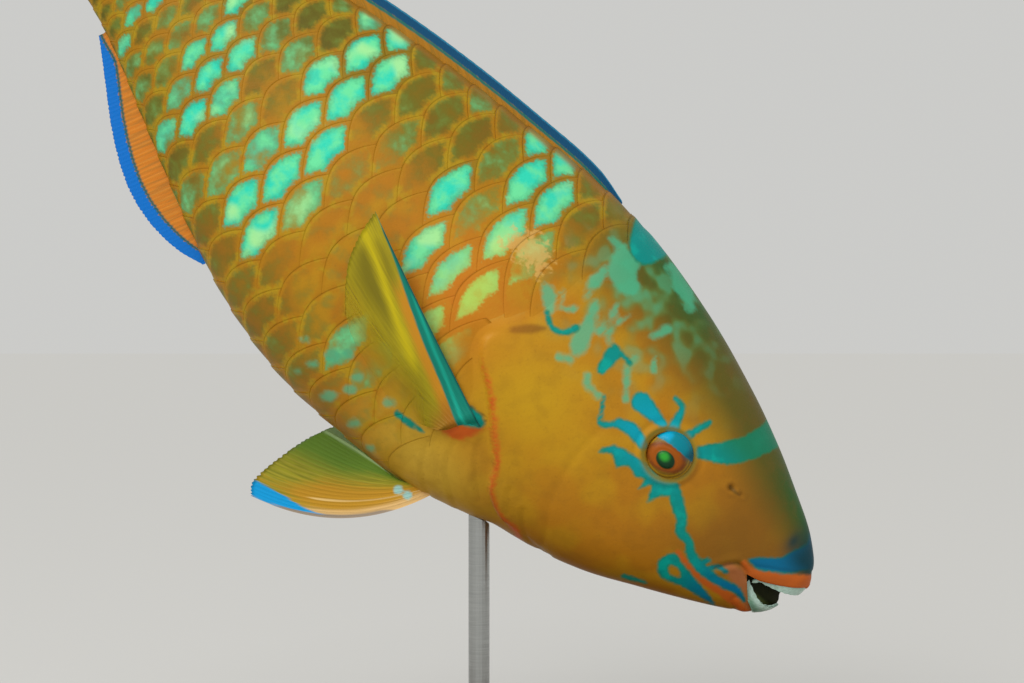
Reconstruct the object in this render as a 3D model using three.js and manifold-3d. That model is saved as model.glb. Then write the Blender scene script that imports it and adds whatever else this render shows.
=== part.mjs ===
// A parrotfish as a still, life-size display model, nose down on a plain stand.
//
// Units are millimetres and Z is up. The origin is on the floor, under the middle of the stand.
// The fish is drawn in a frame of its own: x runs from the snout to the tail, y to its right
// flank and z to its back. One turn at the end pitches it head down over the stand.

import * as THREE from 'three';
import { mergeVertices } from 'three/addons/utils/BufferGeometryUtils.js';
import Module from 'manifold-3d';

const wasm = await Module();
wasm.setup();

// Driving dimensions of the whole model

const GAP = 0.3;
const PITCH = Math.PI / 4;
const SNOUT_X = 116;
const SNOUT_Z = 80;
const FAR = 120;

// Body stations: distance behind the snout, heights of back and belly, and half the width.
// The total length is 500, and the scaled body ends at 405.

const STATIONS = [
  { x: -3.4, back: 10.2, belly: 6, half: 2.8 },
  { x: 0, back: 16, belly: -7.5, half: 6.6 },
  { x: 4, back: 19.8, belly: -12.6, half: 8.6 },
  { x: 12, back: 25.2, belly: -18.8, half: 12.4 },
  { x: 24, back: 31, belly: -26.4, half: 17.2 },
  { x: 41, back: 38.6, belly: -36.2, half: 22.6 },
  { x: 63, back: 46.6, belly: -48, half: 27.8 },
  { x: 95, back: 55.4, belly: -58.6, half: 32.4 },
  { x: 134, back: 61.6, belly: -72, half: 35 },
  { x: 165, back: 61.4, belly: -75.8, half: 34.8 },
  { x: 195, back: 58, belly: -76.6, half: 32.4 },
  { x: 228, back: 53.6, belly: -71.4, half: 28 },
  { x: 260, back: 47.8, belly: -61, half: 22.4 },
  { x: 295, back: 39.4, belly: -47, half: 16.4 },
  { x: 335, back: 28.4, belly: -31.2, half: 11 },
  { x: 368, back: 23, belly: -24, half: 7.8 },
  { x: 400, back: 24.6, belly: -25.6, half: 4.6 },
  { x: 411, back: 25.6, belly: -26.6, half: 1.4 },
];
const BODY_ROWS = 34;
const BODY_SIDES = 24;
const ROW_CROWDING = 1.35;
const BACK_FULLNESS = 1.02;
const BELLY_FULLNESS = 0.86;

// Head: gill cover, jaw, mouth, beak and eyes

const GILL_EDGE = [
  [126, 90], [130, 60], [136, 11.4], [143, -0.2], [148.3, -9.8], [145, -16.5], [133.3, -24.2],
  [121.8, -34], [114, -40.6], [108, -49.4], [99, -53.8], [86.5, -57.3], [76, -90],
];
const GILL_EDGE_STEPS = 26;
const CHEEK_EDGE = [
  [103, 21], [97, 0], [95, -19], [90, -36], [78, -54], [68, -90],
];
const CHEEK_EDGE_STEPS = 12;
const GILL_COVER_TOP = 18;
const GILL_COVER_THICKNESS = 5;
const MOUTH_CORNER = [18, -4.2];
const UPPER_LIP = [[13, -2.2], [8, 0.6], [4, 3], [0, 5.8], [-3.6, 8.8]];
const LOWER_LIP = [[4.6, -12.8], [8.2, -12], [11, -10.4], [14.3, -7.6]];
const LIP_STEPS = 8;
const JAW_HINGE = [27, -13.5];
const JAW_HEEL = [36, -36];
const TONGUE_FRONT = 7;
const TONGUE_INSET = 4.2;
const UPPER_BEAK = {
  front: -2.6, rear: 12.4, half: 9.1, lean: 1.1, bulge: 0.3, thickness: 1.8,
  rootFront: 10.5, rootRear: 0.6, biteFront: 5.1, biteRear: -3.2, dip: 1.3,
};
const LOWER_BEAK = {
  front: 5, rear: 15.2, half: 8.6, lean: 5.6, bulge: 0.8, thickness: 1.8,
  rootFront: -13, rootRear: -9.2, biteFront: -5.2, biteRear: -5, dip: 2.8,
};
const BEAK_COLUMNS = 14;
const BEAK_ROWS = 3;
const BEAK_EDGE_THICKNESS = 0.7;
const CORNER_TOOTH = { x: 13.2, y: 8.9, z: -0.4, radius: 1.2, length: 4.2, sides: 8 };
const EYE = { x: 71.6, z: 6.5, radius: 9.4, bulge: 6.1, sunk: 2.9, columns: 16, rows: 9 };

// Tail stalk: where the trunk ends, low before the end of the anal fin

const STALK_CUT = 338;

// Fins: thickness at root and margin, and how far the root is sunk before it is trimmed

const FIN_ROOT_THICKNESS = 2.4;
const FIN_EDGE_THICKNESS = 0.9;
const FIN_SUNK = 4;
const DORSAL = {
  from: 149, to: 354, rays: 24,
  heights: [[149, 0.6], [158, 3.6], [188, 5.4], [225, 6.4], [260, 7.2], [310, 8], [340, 8], [354, 5]],
  rake: 1.6,
};
const ANAL = {
  from: 245, to: 334, rays: 16,
  heights: [[245, 1], [254, 8], [268, 14], [282, 16], [300, 13.4], [318, 8], [334, 2.4]],
  rake: 0.35,
};
const TAIL = { root: 399, halfRoot: 25, fork: 461, tip: 500, halfSpread: 67, bow: 7, rays: 18 };
const PECTORAL = {
  root: [[131.5, -33.6], [140.5, -46.5]],
  margin: [[209.4, -6.4], [206.4, -19.2], [200, -30.6], [186, -43], [161.5, -50]],
  bow: [-0.6, -3], side: 32, dip: 6, flare: 13, rays: 12,
};
const PELVIC = {
  root: [[124.8, -69], [140, -73]],
  margin: [[169.6, -113.2], [172.8, -109], [172.7, -101], [171.4, -91.5], [169.6, -83], [167, -76.6]],
  bow: [-8.8, 1], side: 7, dip: 1, flare: 16, rays: 11,
};
const FAN_ROWS = 6;
const DIP_SHARPNESS = 6;

// Stand: a flat base with eased edges, one rod and the flange at its foot

const BASE = { length: 280, width: 150, height: 18, corner: 24, bevel: 3 };
const ROD = { radius: 4, flangeRadius: 15, flangeHeight: 4, fillet: 3, sides: 20, reach: 60 };

// Materials: colour, roughness and metalness of each part

const FINISHES = {
  skin: [0xa87424, 0.45, 0],
  cheek: [0xb8801e, 0.42, 0],
  stalk: [0x8f7a34, 0.45, 0],
  beak: [0xb8d0c0, 0.25, 0],
  eye: [0xd06a20, 0.12, 0],
  backFin: [0x0e4f8c, 0.4, 0],
  warmFin: [0xd98a20, 0.4, 0],
  sideFin: [0xc8a818, 0.38, 0],
  bellyFin: [0xa8a030, 0.38, 0],
  wood: [0x4a2f1e, 0.5, 0],
  steel: [0xb4b6b8, 0.28, 1],
};

// Curve helpers

// The value at x on the smooth curve through [x, value] knots.
function smoothAt(knots, x) {
  const last = knots.length - 1;
  if (x <= knots[0][0]) {
    return knots[0][1];
  }
  if (x >= knots[last][0]) {
    return knots[last][1];
  }
  const slopeAt = (i) => {
    const before = knots[Math.max(i - 1, 0)];
    const after = knots[Math.min(i + 1, last)];
    return (after[1] - before[1]) / (after[0] - before[0]);
  };
  const i = knots.findIndex(([at]) => at > x) - 1;
  const span = knots[i + 1][0] - knots[i][0];
  const t = (x - knots[i][0]) / span;
  const rise = t * t * (3 - 2 * t);
  const startSlope = t * (1 - t) * (1 - t) * span * slopeAt(i);
  const endSlope = t * t * (t - 1) * span * slopeAt(i + 1);
  return knots[i][1] * (1 - rise) + knots[i + 1][1] * rise + startSlope + endSlope;
}

function knotsOf(key) {
  return STATIONS.map((station) => [station.x, station[key]]);
}

const PROFILE = { back: knotsOf('back'), belly: knotsOf('belly'), half: knotsOf('half') };

// Back, belly and half width of the body at x, swollen by `grow`.
function bodySize(x, grow = 0) {
  return {
    back: smoothAt(PROFILE.back, x) + grow,
    belly: smoothAt(PROFILE.belly, x) - grow,
    half: Math.max(smoothAt(PROFILE.half, x) + grow, 0.2),
  };
}

// A point of the body's surface, `turn` from -90 degrees at the belly to 90 at the back.
function bodyPoint(x, turn, side, grow = 0) {
  const { back, belly, half } = bodySize(x, grow);
  const middle = (back + belly) / 2;
  const power = turn > 0 ? BACK_FULLNESS : BELLY_FULLNESS;
  const across = half * Math.pow(Math.max(Math.cos(turn), 0), power);
  const height = middle + ((back - belly) / 2) * Math.sin(turn);
  return new THREE.Vector3(x, side * across, height);
}

// Half the width of the body at x and height z.
function flankAt(x, z) {
  const { back, belly } = bodySize(x);
  const middle = (back + belly) / 2;
  const turn = Math.asin(THREE.MathUtils.clamp((z - middle) / ((back - belly) / 2), -1, 1));
  return bodyPoint(x, turn, 1).y;
}

// Points spread evenly by number along a smooth line through [x, z] pairs.
function smoothLine(pairs, count) {
  return new THREE.SplineCurve(pairs.map(([x, z]) => new THREE.Vector2(x, z))).getPoints(count);
}

function shifted(points, dx, dz) {
  return points.map((p) => new THREE.Vector2(p.x + dx, p.y + dz));
}

function asPoints(pairs) {
  return pairs.map(([x, z]) => new THREE.Vector2(x, z));
}

// Solid helpers

function geometryFrom(positions, index) {
  const geometry = new THREE.BufferGeometry();
  geometry.setAttribute('position', new THREE.Float32BufferAttribute(positions, 3));
  geometry.setIndex(index);
  return geometry;
}

// A closed solid through rings of points, with a flat fan over each end.
function loft(rings) {
  const sides = rings[0].length;
  const positions = rings.flat().flatMap((p) => [p.x, p.y, p.z]);
  const index = [];
  for (let row = 0; row + 1 < rings.length; row++) {
    for (let i = 0; i < sides; i++) {
      const a = row * sides + i;
      const b = row * sides + ((i + 1) % sides);
      index.push(a, b, b + sides, a, b + sides, a + sides);
    }
  }
  const addCap = (ring, start, flip) => {
    const centre = positions.length / 3;
    const middle = new THREE.Vector3();
    ring.forEach((p) => middle.add(p));
    middle.divideScalar(sides);
    positions.push(middle.x, middle.y, middle.z);
    for (let i = 0; i < sides; i++) {
      const a = start + i;
      const b = start + ((i + 1) % sides);
      index.push(centre, flip ? b : a, flip ? a : b);
    }
  };
  addCap(rings[0], 0, true);
  addCap(rings[rings.length - 1], (rings.length - 1) * sides, false);
  return geometryFrom(positions, index);
}

function solidFrom(geometry) {
  const bare = geometry.clone();
  bare.deleteAttribute('normal');
  bare.deleteAttribute('uv');
  const merged = mergeVertices(bare);
  return new wasm.Manifold(new wasm.Mesh({
    numProp: 3,
    vertProperties: new Float32Array(merged.attributes.position.array),
    triVerts: new Uint32Array(merged.index.array),
  }));
}

function geometryOf(solid) {
  const mesh = solid.getMesh();
  const geometry = geometryFrom(Array.from(mesh.vertProperties), Array.from(mesh.triVerts));
  geometry.computeVertexNormals();
  return geometry;
}

// The side outline `points`, in x and z, pushed through the body from y = from to y = to.
function prism(points, from = -FAR, to = FAR) {
  const shape = new THREE.Shape(points);
  const geometry = new THREE.ExtrudeGeometry(shape, { depth: to - from, bevelEnabled: false });
  geometry.rotateX(Math.PI / 2);
  geometry.translate(0, to, 0);
  return solidFrom(geometry);
}

// A thin curved sheet: point(u, s) is its middle, and thickness is laid off along `across`.
function sheet(columns, rows, point, across, thicknessAt) {
  const rings = [];
  for (let i = 0; i <= columns; i++) {
    const front = [];
    const rear = [];
    for (let j = 0; j <= rows; j++) {
      const u = i / columns;
      const s = j / rows;
      const offset = across(u, s).clone().multiplyScalar(thicknessAt(s) / 2);
      front.push(point(u, s).add(offset));
      rear.push(point(u, s).sub(offset));
    }
    rings.push([...front, ...rear.reverse()]);
  }
  const solid = solidFrom(loft(rings));
  return solid.volume() > 0 ? solid : solidFrom(turnedInsideOut(loft(rings)));
}

function turnedInsideOut(geometry) {
  const index = Array.from(geometry.index.array);
  for (let i = 0; i < index.length; i += 3) {
    [index[i + 1], index[i + 2]] = [index[i + 2], index[i + 1]];
  }
  geometry.setIndex(index);
  return geometry;
}

function finThickness(s) {
  return THREE.MathUtils.lerp(FIN_ROOT_THICKNESS, FIN_EDGE_THICKNESS, Math.sqrt(s));
}

// Body

// The whole body in one piece, swollen by `grow`.
function bodySolid(grow = 0) {
  const first = STATIONS[0].x - Math.max(grow, 0);
  const last = STATIONS[STATIONS.length - 1].x + grow;
  const rings = [];
  for (let row = 0; row <= BODY_ROWS; row++) {
    const x = first + (last - first) * Math.pow(row / BODY_ROWS, ROW_CROWDING);
    const ring = [];
    for (let i = 0; i < BODY_SIDES; i++) {
      const turn = (2 * Math.PI * i) / BODY_SIDES;
      const side = Math.cos(turn) < 0 ? -1 : 1;
      ring.push(bodyPoint(x, Math.asin(Math.sin(turn)), side, grow));
    }
    rings.push(ring);
  }
  return solidFrom(loft(rings));
}

const body = bodySolid();
const bodyWithGap = bodySolid(GAP);

// Head and gill covers

const gillLine = smoothLine(GILL_EDGE, GILL_EDGE_STEPS);

// What lies in front of the gill line, moved by `gap` towards the trunk.
function headZone(gap) {
  const front = asPoints([[-FAR, -FAR], [-FAR, FAR]]);
  return prism([...front, ...shifted(gillLine, gap, -gap)]);
}

// The shell of one gill cover, or of its bed where `gap` is over 0.
function gillCoverZone(side, gap) {
  const top = GILL_COVER_TOP + gap;
  const edge = shifted(smoothLine(CHEEK_EDGE, CHEEK_EDGE_STEPS), -gap, 0).filter((p) => p.y < top);
  const rear = asPoints([[FAR * 2, -FAR], [FAR * 2, top], [edge[0].x, top]]);
  const outline = [...rear, ...edge, new THREE.Vector2(edge[edge.length - 1].x, -FAR)];
  const near = side > 0 ? GAP / 2 - gap : -FAR;
  const far = side > 0 ? FAR : -(GAP / 2 - gap);
  return prism(outline, near, far).subtract(bodySolid(-GILL_COVER_THICKNESS - gap));
}

const mouthZone = prism([
  new THREE.Vector2(...MOUTH_CORNER),
  ...smoothLine(UPPER_LIP, LIP_STEPS),
  ...asPoints([[-FAR, UPPER_LIP[UPPER_LIP.length - 1][1]], [-FAR, LOWER_LIP[0][1]]]),
  ...smoothLine(LOWER_LIP, LIP_STEPS),
]);

// What fills the mouth behind the teeth, shown dark in the gape.
const tongueZone = prism(asPoints([
  [TONGUE_FRONT, -FAR], [TONGUE_FRONT, FAR], [FAR, FAR], [FAR, -FAR],
])).intersect(bodySolid(-TONGUE_INSET));

// What hangs below the mouth, moved by `gap` towards the cheek.
function jawZone(gap) {
  return prism(asPoints([
    [-FAR, MOUTH_CORNER[1] + gap], [MOUTH_CORNER[0] - 1, MOUTH_CORNER[1] + gap],
    [JAW_HINGE[0] + gap, JAW_HINGE[1] + gap], [JAW_HEEL[0] + gap, JAW_HEEL[1]],
    [JAW_HEEL[0] + gap, -FAR], [-FAR, -FAR],
  ]));
}

// One tooth plate: a curved band round the front of the jaw, from its root down to its bite.
function beak(size, grow) {
  const legs = size.rear - size.front;
  const reach = Math.PI / 2 + grow / legs;
  const arc = (u) => (2 * u - 1) * reach;
  const upwards = Math.sign(size.rootFront - size.biteFront);
  const point = (u, s) => {
    const back = 1 - Math.cos(arc(u));
    const root = THREE.MathUtils.lerp(size.rootFront, size.rootRear, back) + upwards * grow;
    const edge = THREE.MathUtils.lerp(size.biteFront, size.biteRear, back);
    const dip = size.dip * Math.sin(Math.PI * Math.pow(Math.min(back, 1), 0.65));
    const bite = edge - dip - upwards * grow;
    const lean = size.lean * s + size.bulge * 4 * s * (1 - s);
    const x = size.front + legs * back - lean * Math.cos(arc(u));
    return new THREE.Vector3(x, size.half * Math.sin(arc(u)), THREE.MathUtils.lerp(root, bite, s));
  };
  const across = (u) => new THREE.Vector3(-Math.cos(arc(u)), Math.sin(arc(u)), 0);
  const thickness = (s) => {
    return THREE.MathUtils.lerp(size.thickness, BEAK_EDGE_THICKNESS, s * s) + 2 * grow;
  };
  return sheet(BEAK_COLUMNS, BEAK_ROWS, point, across, thickness);
}

// The small tooth that stands out behind the upper plate, pointing down.
function cornerTooth(side, grow) {
  const { x, y, z, radius, length, sides } = CORNER_TOOTH;
  const cone = new THREE.ConeGeometry(radius + grow, length + 2 * grow, sides);
  cone.rotateX(-Math.PI / 2);
  cone.translate(x, side * y, z - length / 2);
  return solidFrom(cone);
}

function upperPlate(grow) {
  return beak(UPPER_BEAK, grow).add(cornerTooth(1, grow)).add(cornerTooth(-1, grow));
}

// An eye: a ball flattened from side to side, as large as `grow` makes it.
function eye(side, grow = 0) {
  const ball = new THREE.SphereGeometry(1, EYE.columns, EYE.rows);
  ball.scale(EYE.radius + grow, EYE.radius + grow, EYE.bulge + grow);
  ball.rotateX(Math.PI / 2);
  ball.translate(EYE.x, side * (flankAt(EYE.x, EYE.z) - EYE.sunk), EYE.z);
  return solidFrom(ball);
}

const wholeHead = body.intersect(headZone(0));
const openHead = wholeHead
  .subtract(mouthZone.subtract(tongueZone))
  .subtract(upperPlate(GAP))
  .subtract(beak(LOWER_BEAK, GAP));
const lowerJaw = openHead.intersect(jawZone(0));
const head = openHead
  .subtract(jawZone(GAP))
  .subtract(gillCoverZone(1, GAP))
  .subtract(gillCoverZone(-1, GAP))
  .subtract(eye(1, GAP))
  .subtract(eye(-1, GAP));

// Trunk and tail stalk

const rump = prism(asPoints([
  [STALK_CUT, -FAR], [STALK_CUT, FAR], [FAR * 5, FAR], [FAR * 5, -FAR],
]));
const rumpWithGap = prism(asPoints([
  [STALK_CUT - GAP, -FAR], [STALK_CUT - GAP, FAR], [FAR * 5, FAR], [FAR * 5, -FAR],
]));
const trunk = body.subtract(headZone(GAP)).subtract(rumpWithGap);
const tailStalk = body.intersect(rump);

// Fins

// A fin of the back or belly: rays along the midline, raked towards the tail.
function midlineFin(size, side) {
  const edgeOf = (x) => (side > 0 ? bodySize(x).back : bodySize(x).belly);
  const point = (u, s) => {
    const foot = THREE.MathUtils.lerp(size.from, size.to, u);
    const rise = THREE.MathUtils.lerp(-FIN_SUNK, smoothAt(size.heights, foot), s);
    const x = foot + size.rake * Math.max(rise, 0);
    return new THREE.Vector3(x, 0, edgeOf(x) + side * rise);
  };
  const across = () => new THREE.Vector3(0, 1, 0);
  return sheet(size.rays, 2, point, across, finThickness).subtract(bodyWithGap);
}

// A fan-shaped fin: bowed rays from a root line to a margin, both given as lines in x and z.
function fanFin(size, side) {
  const root = new THREE.LineCurve(...asPoints(size.root));
  const margin = new THREE.SplineCurve(asPoints(size.margin));
  const point = (u, s) => {
    const start = root.getPoint(u);
    const end = margin.getPoint(u);
    const ray = end.clone().sub(start);
    const along = THREE.MathUtils.lerp(-FIN_SUNK / ray.length(), 1, s);
    const bow = 4 * s * (1 - s) * THREE.MathUtils.lerp(size.bow[0], size.bow[1], u);
    const normal = new THREE.Vector2(-ray.y, ray.x).normalize();
    const flat = start.clone().addScaledVector(ray, along).addScaledVector(normal, bow);
    const dip = size.dip * Math.pow(1 - s, DIP_SHARPNESS);
    return new THREE.Vector3(flat.x, side * (size.side + size.flare * s - dip), flat.y);
  };
  const across = () => new THREE.Vector3(0, side, 0);
  return sheet(size.rays, FAN_ROWS, point, across, finThickness).subtract(bodyWithGap);
}

// The tail fin: rays fan from the end of the stalk to a crescent margin.
function tailFin() {
  const point = (u, s) => {
    const level = 1 - 2 * u;
    const lobe = Math.sign(level) * Math.pow(Math.abs(level), 0.85);
    const startZ = TAIL.halfRoot * level - 0.5;
    const endX = TAIL.fork + (TAIL.tip - TAIL.fork) * Math.pow(Math.abs(level), 2.4);
    const endZ = TAIL.halfSpread * lobe;
    const bow = 4 * s * (1 - s) * TAIL.bow * level;
    const x = THREE.MathUtils.lerp(TAIL.root, endX, s);
    return new THREE.Vector3(x, 0, THREE.MathUtils.lerp(startZ, endZ, s) + bow);
  };
  const across = () => new THREE.Vector3(0, 1, 0);
  return sheet(TAIL.rays, 4, point, across, finThickness).subtract(bodyWithGap);
}

// Stand

function standBase() {
  const { length, width, height, corner, bevel } = BASE;
  const x = length / 2 - bevel;
  const y = width / 2 - bevel;
  const r = corner - bevel;
  const outline = new THREE.Shape();
  outline.moveTo(-x + r, -y);
  outline.lineTo(x - r, -y);
  outline.absarc(x - r, -y + r, r, -Math.PI / 2, 0);
  outline.absarc(x - r, y - r, r, 0, Math.PI / 2);
  outline.absarc(-x + r, y - r, r, Math.PI / 2, Math.PI);
  outline.absarc(-x + r, -y + r, r, Math.PI, Math.PI * 1.5);
  const geometry = new THREE.ExtrudeGeometry(outline, {
    depth: height - 2 * bevel,
    bevelThickness: bevel,
    bevelSize: bevel,
    bevelSegments: 2,
    curveSegments: 4,
  });
  geometry.translate(0, 0, bevel);
  return geometry;
}

// The rod and its flange in one turned piece, cut off where it meets the breast.
function standRod(fishInWorld) {
  const foot = BASE.height + GAP;
  const neck = foot + ROD.flangeHeight;
  const profile = [
    new THREE.Vector2(0, foot),
    new THREE.Vector2(ROD.flangeRadius, foot),
    new THREE.Vector2(ROD.flangeRadius, neck - 1),
    new THREE.Vector2(ROD.flangeRadius - 1, neck),
    new THREE.Vector2(ROD.radius + ROD.fillet, neck),
    new THREE.Vector2(ROD.radius, neck + ROD.fillet),
    new THREE.Vector2(ROD.radius, SNOUT_Z + ROD.reach),
    new THREE.Vector2(0, SNOUT_Z + ROD.reach),
  ];
  const rod = new THREE.LatheGeometry(profile, ROD.sides);
  rod.rotateX(Math.PI / 2);
  const solid = solidFrom(rod);
  const upright = solid.volume() > 0 ? solid : solidFrom(turnedInsideOut(rod));
  return upright.subtract(fishInWorld);
}

// Assembly

function mesh(name, solid, finish) {
  const [color, roughness, metalness] = FINISHES[finish];
  const material = new THREE.MeshStandardMaterial({ color, roughness, metalness });
  const geometry = solid instanceof THREE.BufferGeometry ? solid : geometryOf(solid);
  const piece = new THREE.Mesh(geometry, material);
  piece.name = name;
  return piece;
}

const fish = new THREE.Group();
fish.position.set(SNOUT_X, 0, SNOUT_Z);
fish.rotation.set(0, PITCH, Math.PI);
fish.add(
  mesh('head', head, 'skin'),
  mesh('lower_jaw', lowerJaw, 'skin'),
  mesh('upper_beak', upperPlate(0), 'beak'),
  mesh('lower_beak', beak(LOWER_BEAK, 0), 'beak'),
  mesh('trunk', trunk, 'skin'),
  mesh('tail_stalk', tailStalk, 'stalk'),
  mesh('dorsal_fin', midlineFin(DORSAL, 1), 'backFin'),
  mesh('anal_fin', midlineFin(ANAL, -1), 'warmFin'),
  mesh('tail_fin', tailFin(), 'backFin'),
);
for (const [word, side] of [['right', 1], ['left', -1]]) {
  fish.add(
    mesh(`eye_${word}`, eye(side), 'eye'),
    mesh(`gill_cover_${word}`, openHead.intersect(gillCoverZone(side, 0)), 'cheek'),
    mesh(`pectoral_fin_${word}`, fanFin(PECTORAL, side), 'sideFin'),
    mesh(`pelvic_fin_${word}`, fanFin(PELVIC, side), 'bellyFin'),
  );
}
fish.updateMatrixWorld();

const standingBody = solidFrom(geometryOf(bodyWithGap).applyMatrix4(fish.matrixWorld));

const model = new THREE.Group();
model.add(
  fish,
  mesh('stand_base', standBase(), 'wood'),
  mesh('stand_rod', standRod(standingBody), 'steel'),
);

export default model;
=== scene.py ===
"""A parrotfish as a still, life-size museum model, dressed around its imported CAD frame.

The fish is drawn in its own frame in millimetres: a runs from the snout to the tail, s to its
right flank and h to its back. One function turns that frame into the shared frame in metres.
"""

import logging
import math
from dataclasses import dataclass, field
from enum import Enum

import bpy
import numpy as np
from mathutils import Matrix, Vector

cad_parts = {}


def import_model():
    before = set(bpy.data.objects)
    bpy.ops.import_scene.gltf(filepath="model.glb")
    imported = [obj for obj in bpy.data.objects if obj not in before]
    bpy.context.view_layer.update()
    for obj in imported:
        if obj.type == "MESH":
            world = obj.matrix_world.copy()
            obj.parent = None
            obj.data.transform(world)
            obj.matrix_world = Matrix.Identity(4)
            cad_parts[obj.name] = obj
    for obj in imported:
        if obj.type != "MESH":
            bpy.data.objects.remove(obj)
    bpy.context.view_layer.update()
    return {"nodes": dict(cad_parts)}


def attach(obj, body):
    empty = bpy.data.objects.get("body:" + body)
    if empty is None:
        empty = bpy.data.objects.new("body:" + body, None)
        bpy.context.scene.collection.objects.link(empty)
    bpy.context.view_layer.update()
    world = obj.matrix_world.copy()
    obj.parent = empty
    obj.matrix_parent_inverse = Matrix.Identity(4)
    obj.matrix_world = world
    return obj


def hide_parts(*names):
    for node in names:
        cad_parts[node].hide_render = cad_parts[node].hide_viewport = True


log = logging.getLogger("parrotfish")

# Short names for the types that most of the functions take or give back
Array = np.ndarray
Socket = bpy.types.NodeSocket
Material = bpy.types.Material
Piece = bpy.types.Object

MM = 0.001
BODY_END = 412.0
SNOUT_X = 116.0
SNOUT_Z = 80.0
SLOPE = math.sqrt(0.5)

# Behind these places no marking of the head, and none of the flank, is drawn
MARKS_END = 160.0
DARK_END = 200.0

# Larger and smaller than any measure of the fish, and the distance given where no mark is near
FAR = 1e6
TINY = 1e-9
NO_MARK = 50.0


class Flank(Enum):
    """The two sides of the fish, by the sign of s."""

    RIGHT = 1
    LEFT = -1

    @property
    def word(self) -> str:
        """The side's name, as in the CAD's nodes."""
        return self.name.lower()

    @property
    def mirror(self) -> Array:
        """What points of the right side are multiplied by to give this side's."""
        return np.array([1, self.value, 1])


# Helpers for curves


def to_world(points: Array) -> Array:
    """Turns points of the fish's frame into the shared frame.

    Args:
        points: a, s and h in millimetres, in the last axis.

    Returns:
        The same points in metres, nose down over the stand.
    """
    a, s, h = points[..., 0], points[..., 1], points[..., 2]
    x = SNOUT_X + (h - a) * SLOPE
    z = SNOUT_Z + (a + h) * SLOPE
    return np.stack([x, -s, z], axis=-1) * MM


def ease(value: Array, low: float, high: float) -> Array:
    """Rises smoothly from 0 at low to 1 at high, or falls where low is the larger."""
    t = np.clip((np.asarray(value, float) - low) / (high - low), 0.0, 1.0)
    return t * t * (3 - 2 * t)


def smooth_at(knots: Array, values: Array, x: Array) -> Array:
    """Reads the smooth curve through knots, as the CAD source does.

    Args:
        knots: rising positions.
        values: the value at each knot.
        x: where to read.

    Returns:
        The value at each x, held level past both ends.
    """
    slopes = np.empty_like(values)
    slopes[1:-1] = (values[2:] - values[:-2]) / (knots[2:] - knots[:-2])
    slopes[0] = (values[1] - values[0]) / (knots[1] - knots[0])
    slopes[-1] = (values[-1] - values[-2]) / (knots[-1] - knots[-2])
    at = np.clip(np.asarray(x, float), knots[0], knots[-1])
    i = np.clip(np.searchsorted(knots, at, side="right") - 1, 0, len(knots) - 2)
    span = knots[i + 1] - knots[i]
    t = (at - knots[i]) / span
    rise = t * t * (3 - 2 * t)
    bend = t * (1 - t) ** 2 * span * slopes[i] + t * t * (t - 1) * span * slopes[i + 1]
    return values[i] * (1 - rise) + values[i + 1] * rise + bend


def spline(points: list, count: int, closed: bool = False) -> Array:
    """Lays a smooth line through points.

    Args:
        points: the points, as rows of any width.
        count: how many pieces to cut the whole line into.
        closed: if the line runs back to its start.

    Returns:
        count + 1 points on an open line, or count on a closed one.
    """
    given = np.asarray(points, float)
    total = len(given)
    spans = total if closed else total - 1
    t = np.linspace(0, spans, count + 1)[: count if closed else count + 1]
    i = np.minimum(t.astype(int), spans - 1)
    w = (t - i)[:, None]
    if closed:
        p0, p1, p2, p3 = (given[(i + k) % total] for k in (-1, 0, 1, 2))
    else:
        p0, p1, p2, p3 = (given[np.clip(i + k, 0, total - 1)] for k in (-1, 0, 1, 2))
    v0 = (p2 - p0) / 2
    v1 = (p3 - p1) / 2
    cubic = 2 * p1 - 2 * p2 + v0 + v1
    square = 3 * p2 - 3 * p1 - 2 * v0 - v1
    return cubic * w**3 + square * w**2 + v0 * w + p1


def to_segment(a: Array, h: Array, start: Array, end: Array) -> tuple:
    """Measures points against one straight piece of a line.

    Args:
        a: first coordinate of the points.
        h: second coordinate of the points.
        start: the piece's first end.
        end: its other end.

    Returns:
        The share of the way along the piece, the distance from it, and the side: positive to
        the left of its run.
    """
    step = end - start
    da, dh = a - start[0], h - start[1]
    t = np.clip((da * step[0] + dh * step[1]) / max(float(step @ step), TINY), 0, 1)
    gap = np.hypot(da - t * step[0], dh - t * step[1])
    return t, gap, step[0] * dh - step[1] * da


def from_line(line: Array, a: Array, h: Array) -> Array:
    """Measures how far points lie from an open line, with a side.

    Args:
        line: the line's points in a and h.
        a: first coordinate of the points.
        h: second coordinate of the points.

    Returns:
        The distance, positive to the left of the line's run.
    """
    best = np.full(np.shape(a), FAR)
    signed = np.zeros(np.shape(a))
    for start, end in zip(line[:-1], line[1:]):
        _, gap, turn = to_segment(a, h, start, end)
        nearer = gap < best
        best = np.where(nearer, gap, best)
        signed = np.where(nearer, np.where(turn >= 0, gap, -gap), signed)
    return signed


def bell(x: Array) -> Array:
    """1 at 0, falling smoothly to almost nothing at 2 on either side."""
    return np.exp(-(x**2))


def blob(a: Array, h: Array, place: tuple, size: tuple) -> Array:
    """A soft spot of the side view: 1 at its place, almost nothing at twice its size."""
    return np.exp(-(((a - place[0]) / size[0]) ** 2 + ((h - place[1]) / size[1]) ** 2))


# Markings, as shapes in the side view


@dataclass(frozen=True)
class Stroke:
    """A brush line with a half width that changes along it."""

    points: tuple
    steps: int = 5

    def distance(self, a: Array, h: Array) -> Array:
        """Measures how far points lie outside the stroke.

        Args:
            a: first coordinate of the points.
            h: second coordinate of the points.

        Returns:
            The distance, negative inside.
        """
        line = spline(self.points, self.steps * (len(self.points) - 1))
        best = np.full(np.shape(a), FAR)
        for start, end in zip(line[:-1], line[1:]):
            t, gap, _ = to_segment(a, h, start[:2], end[:2])
            best = np.minimum(best, gap - start[2] - t * (end[2] - start[2]))
        return best


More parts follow.
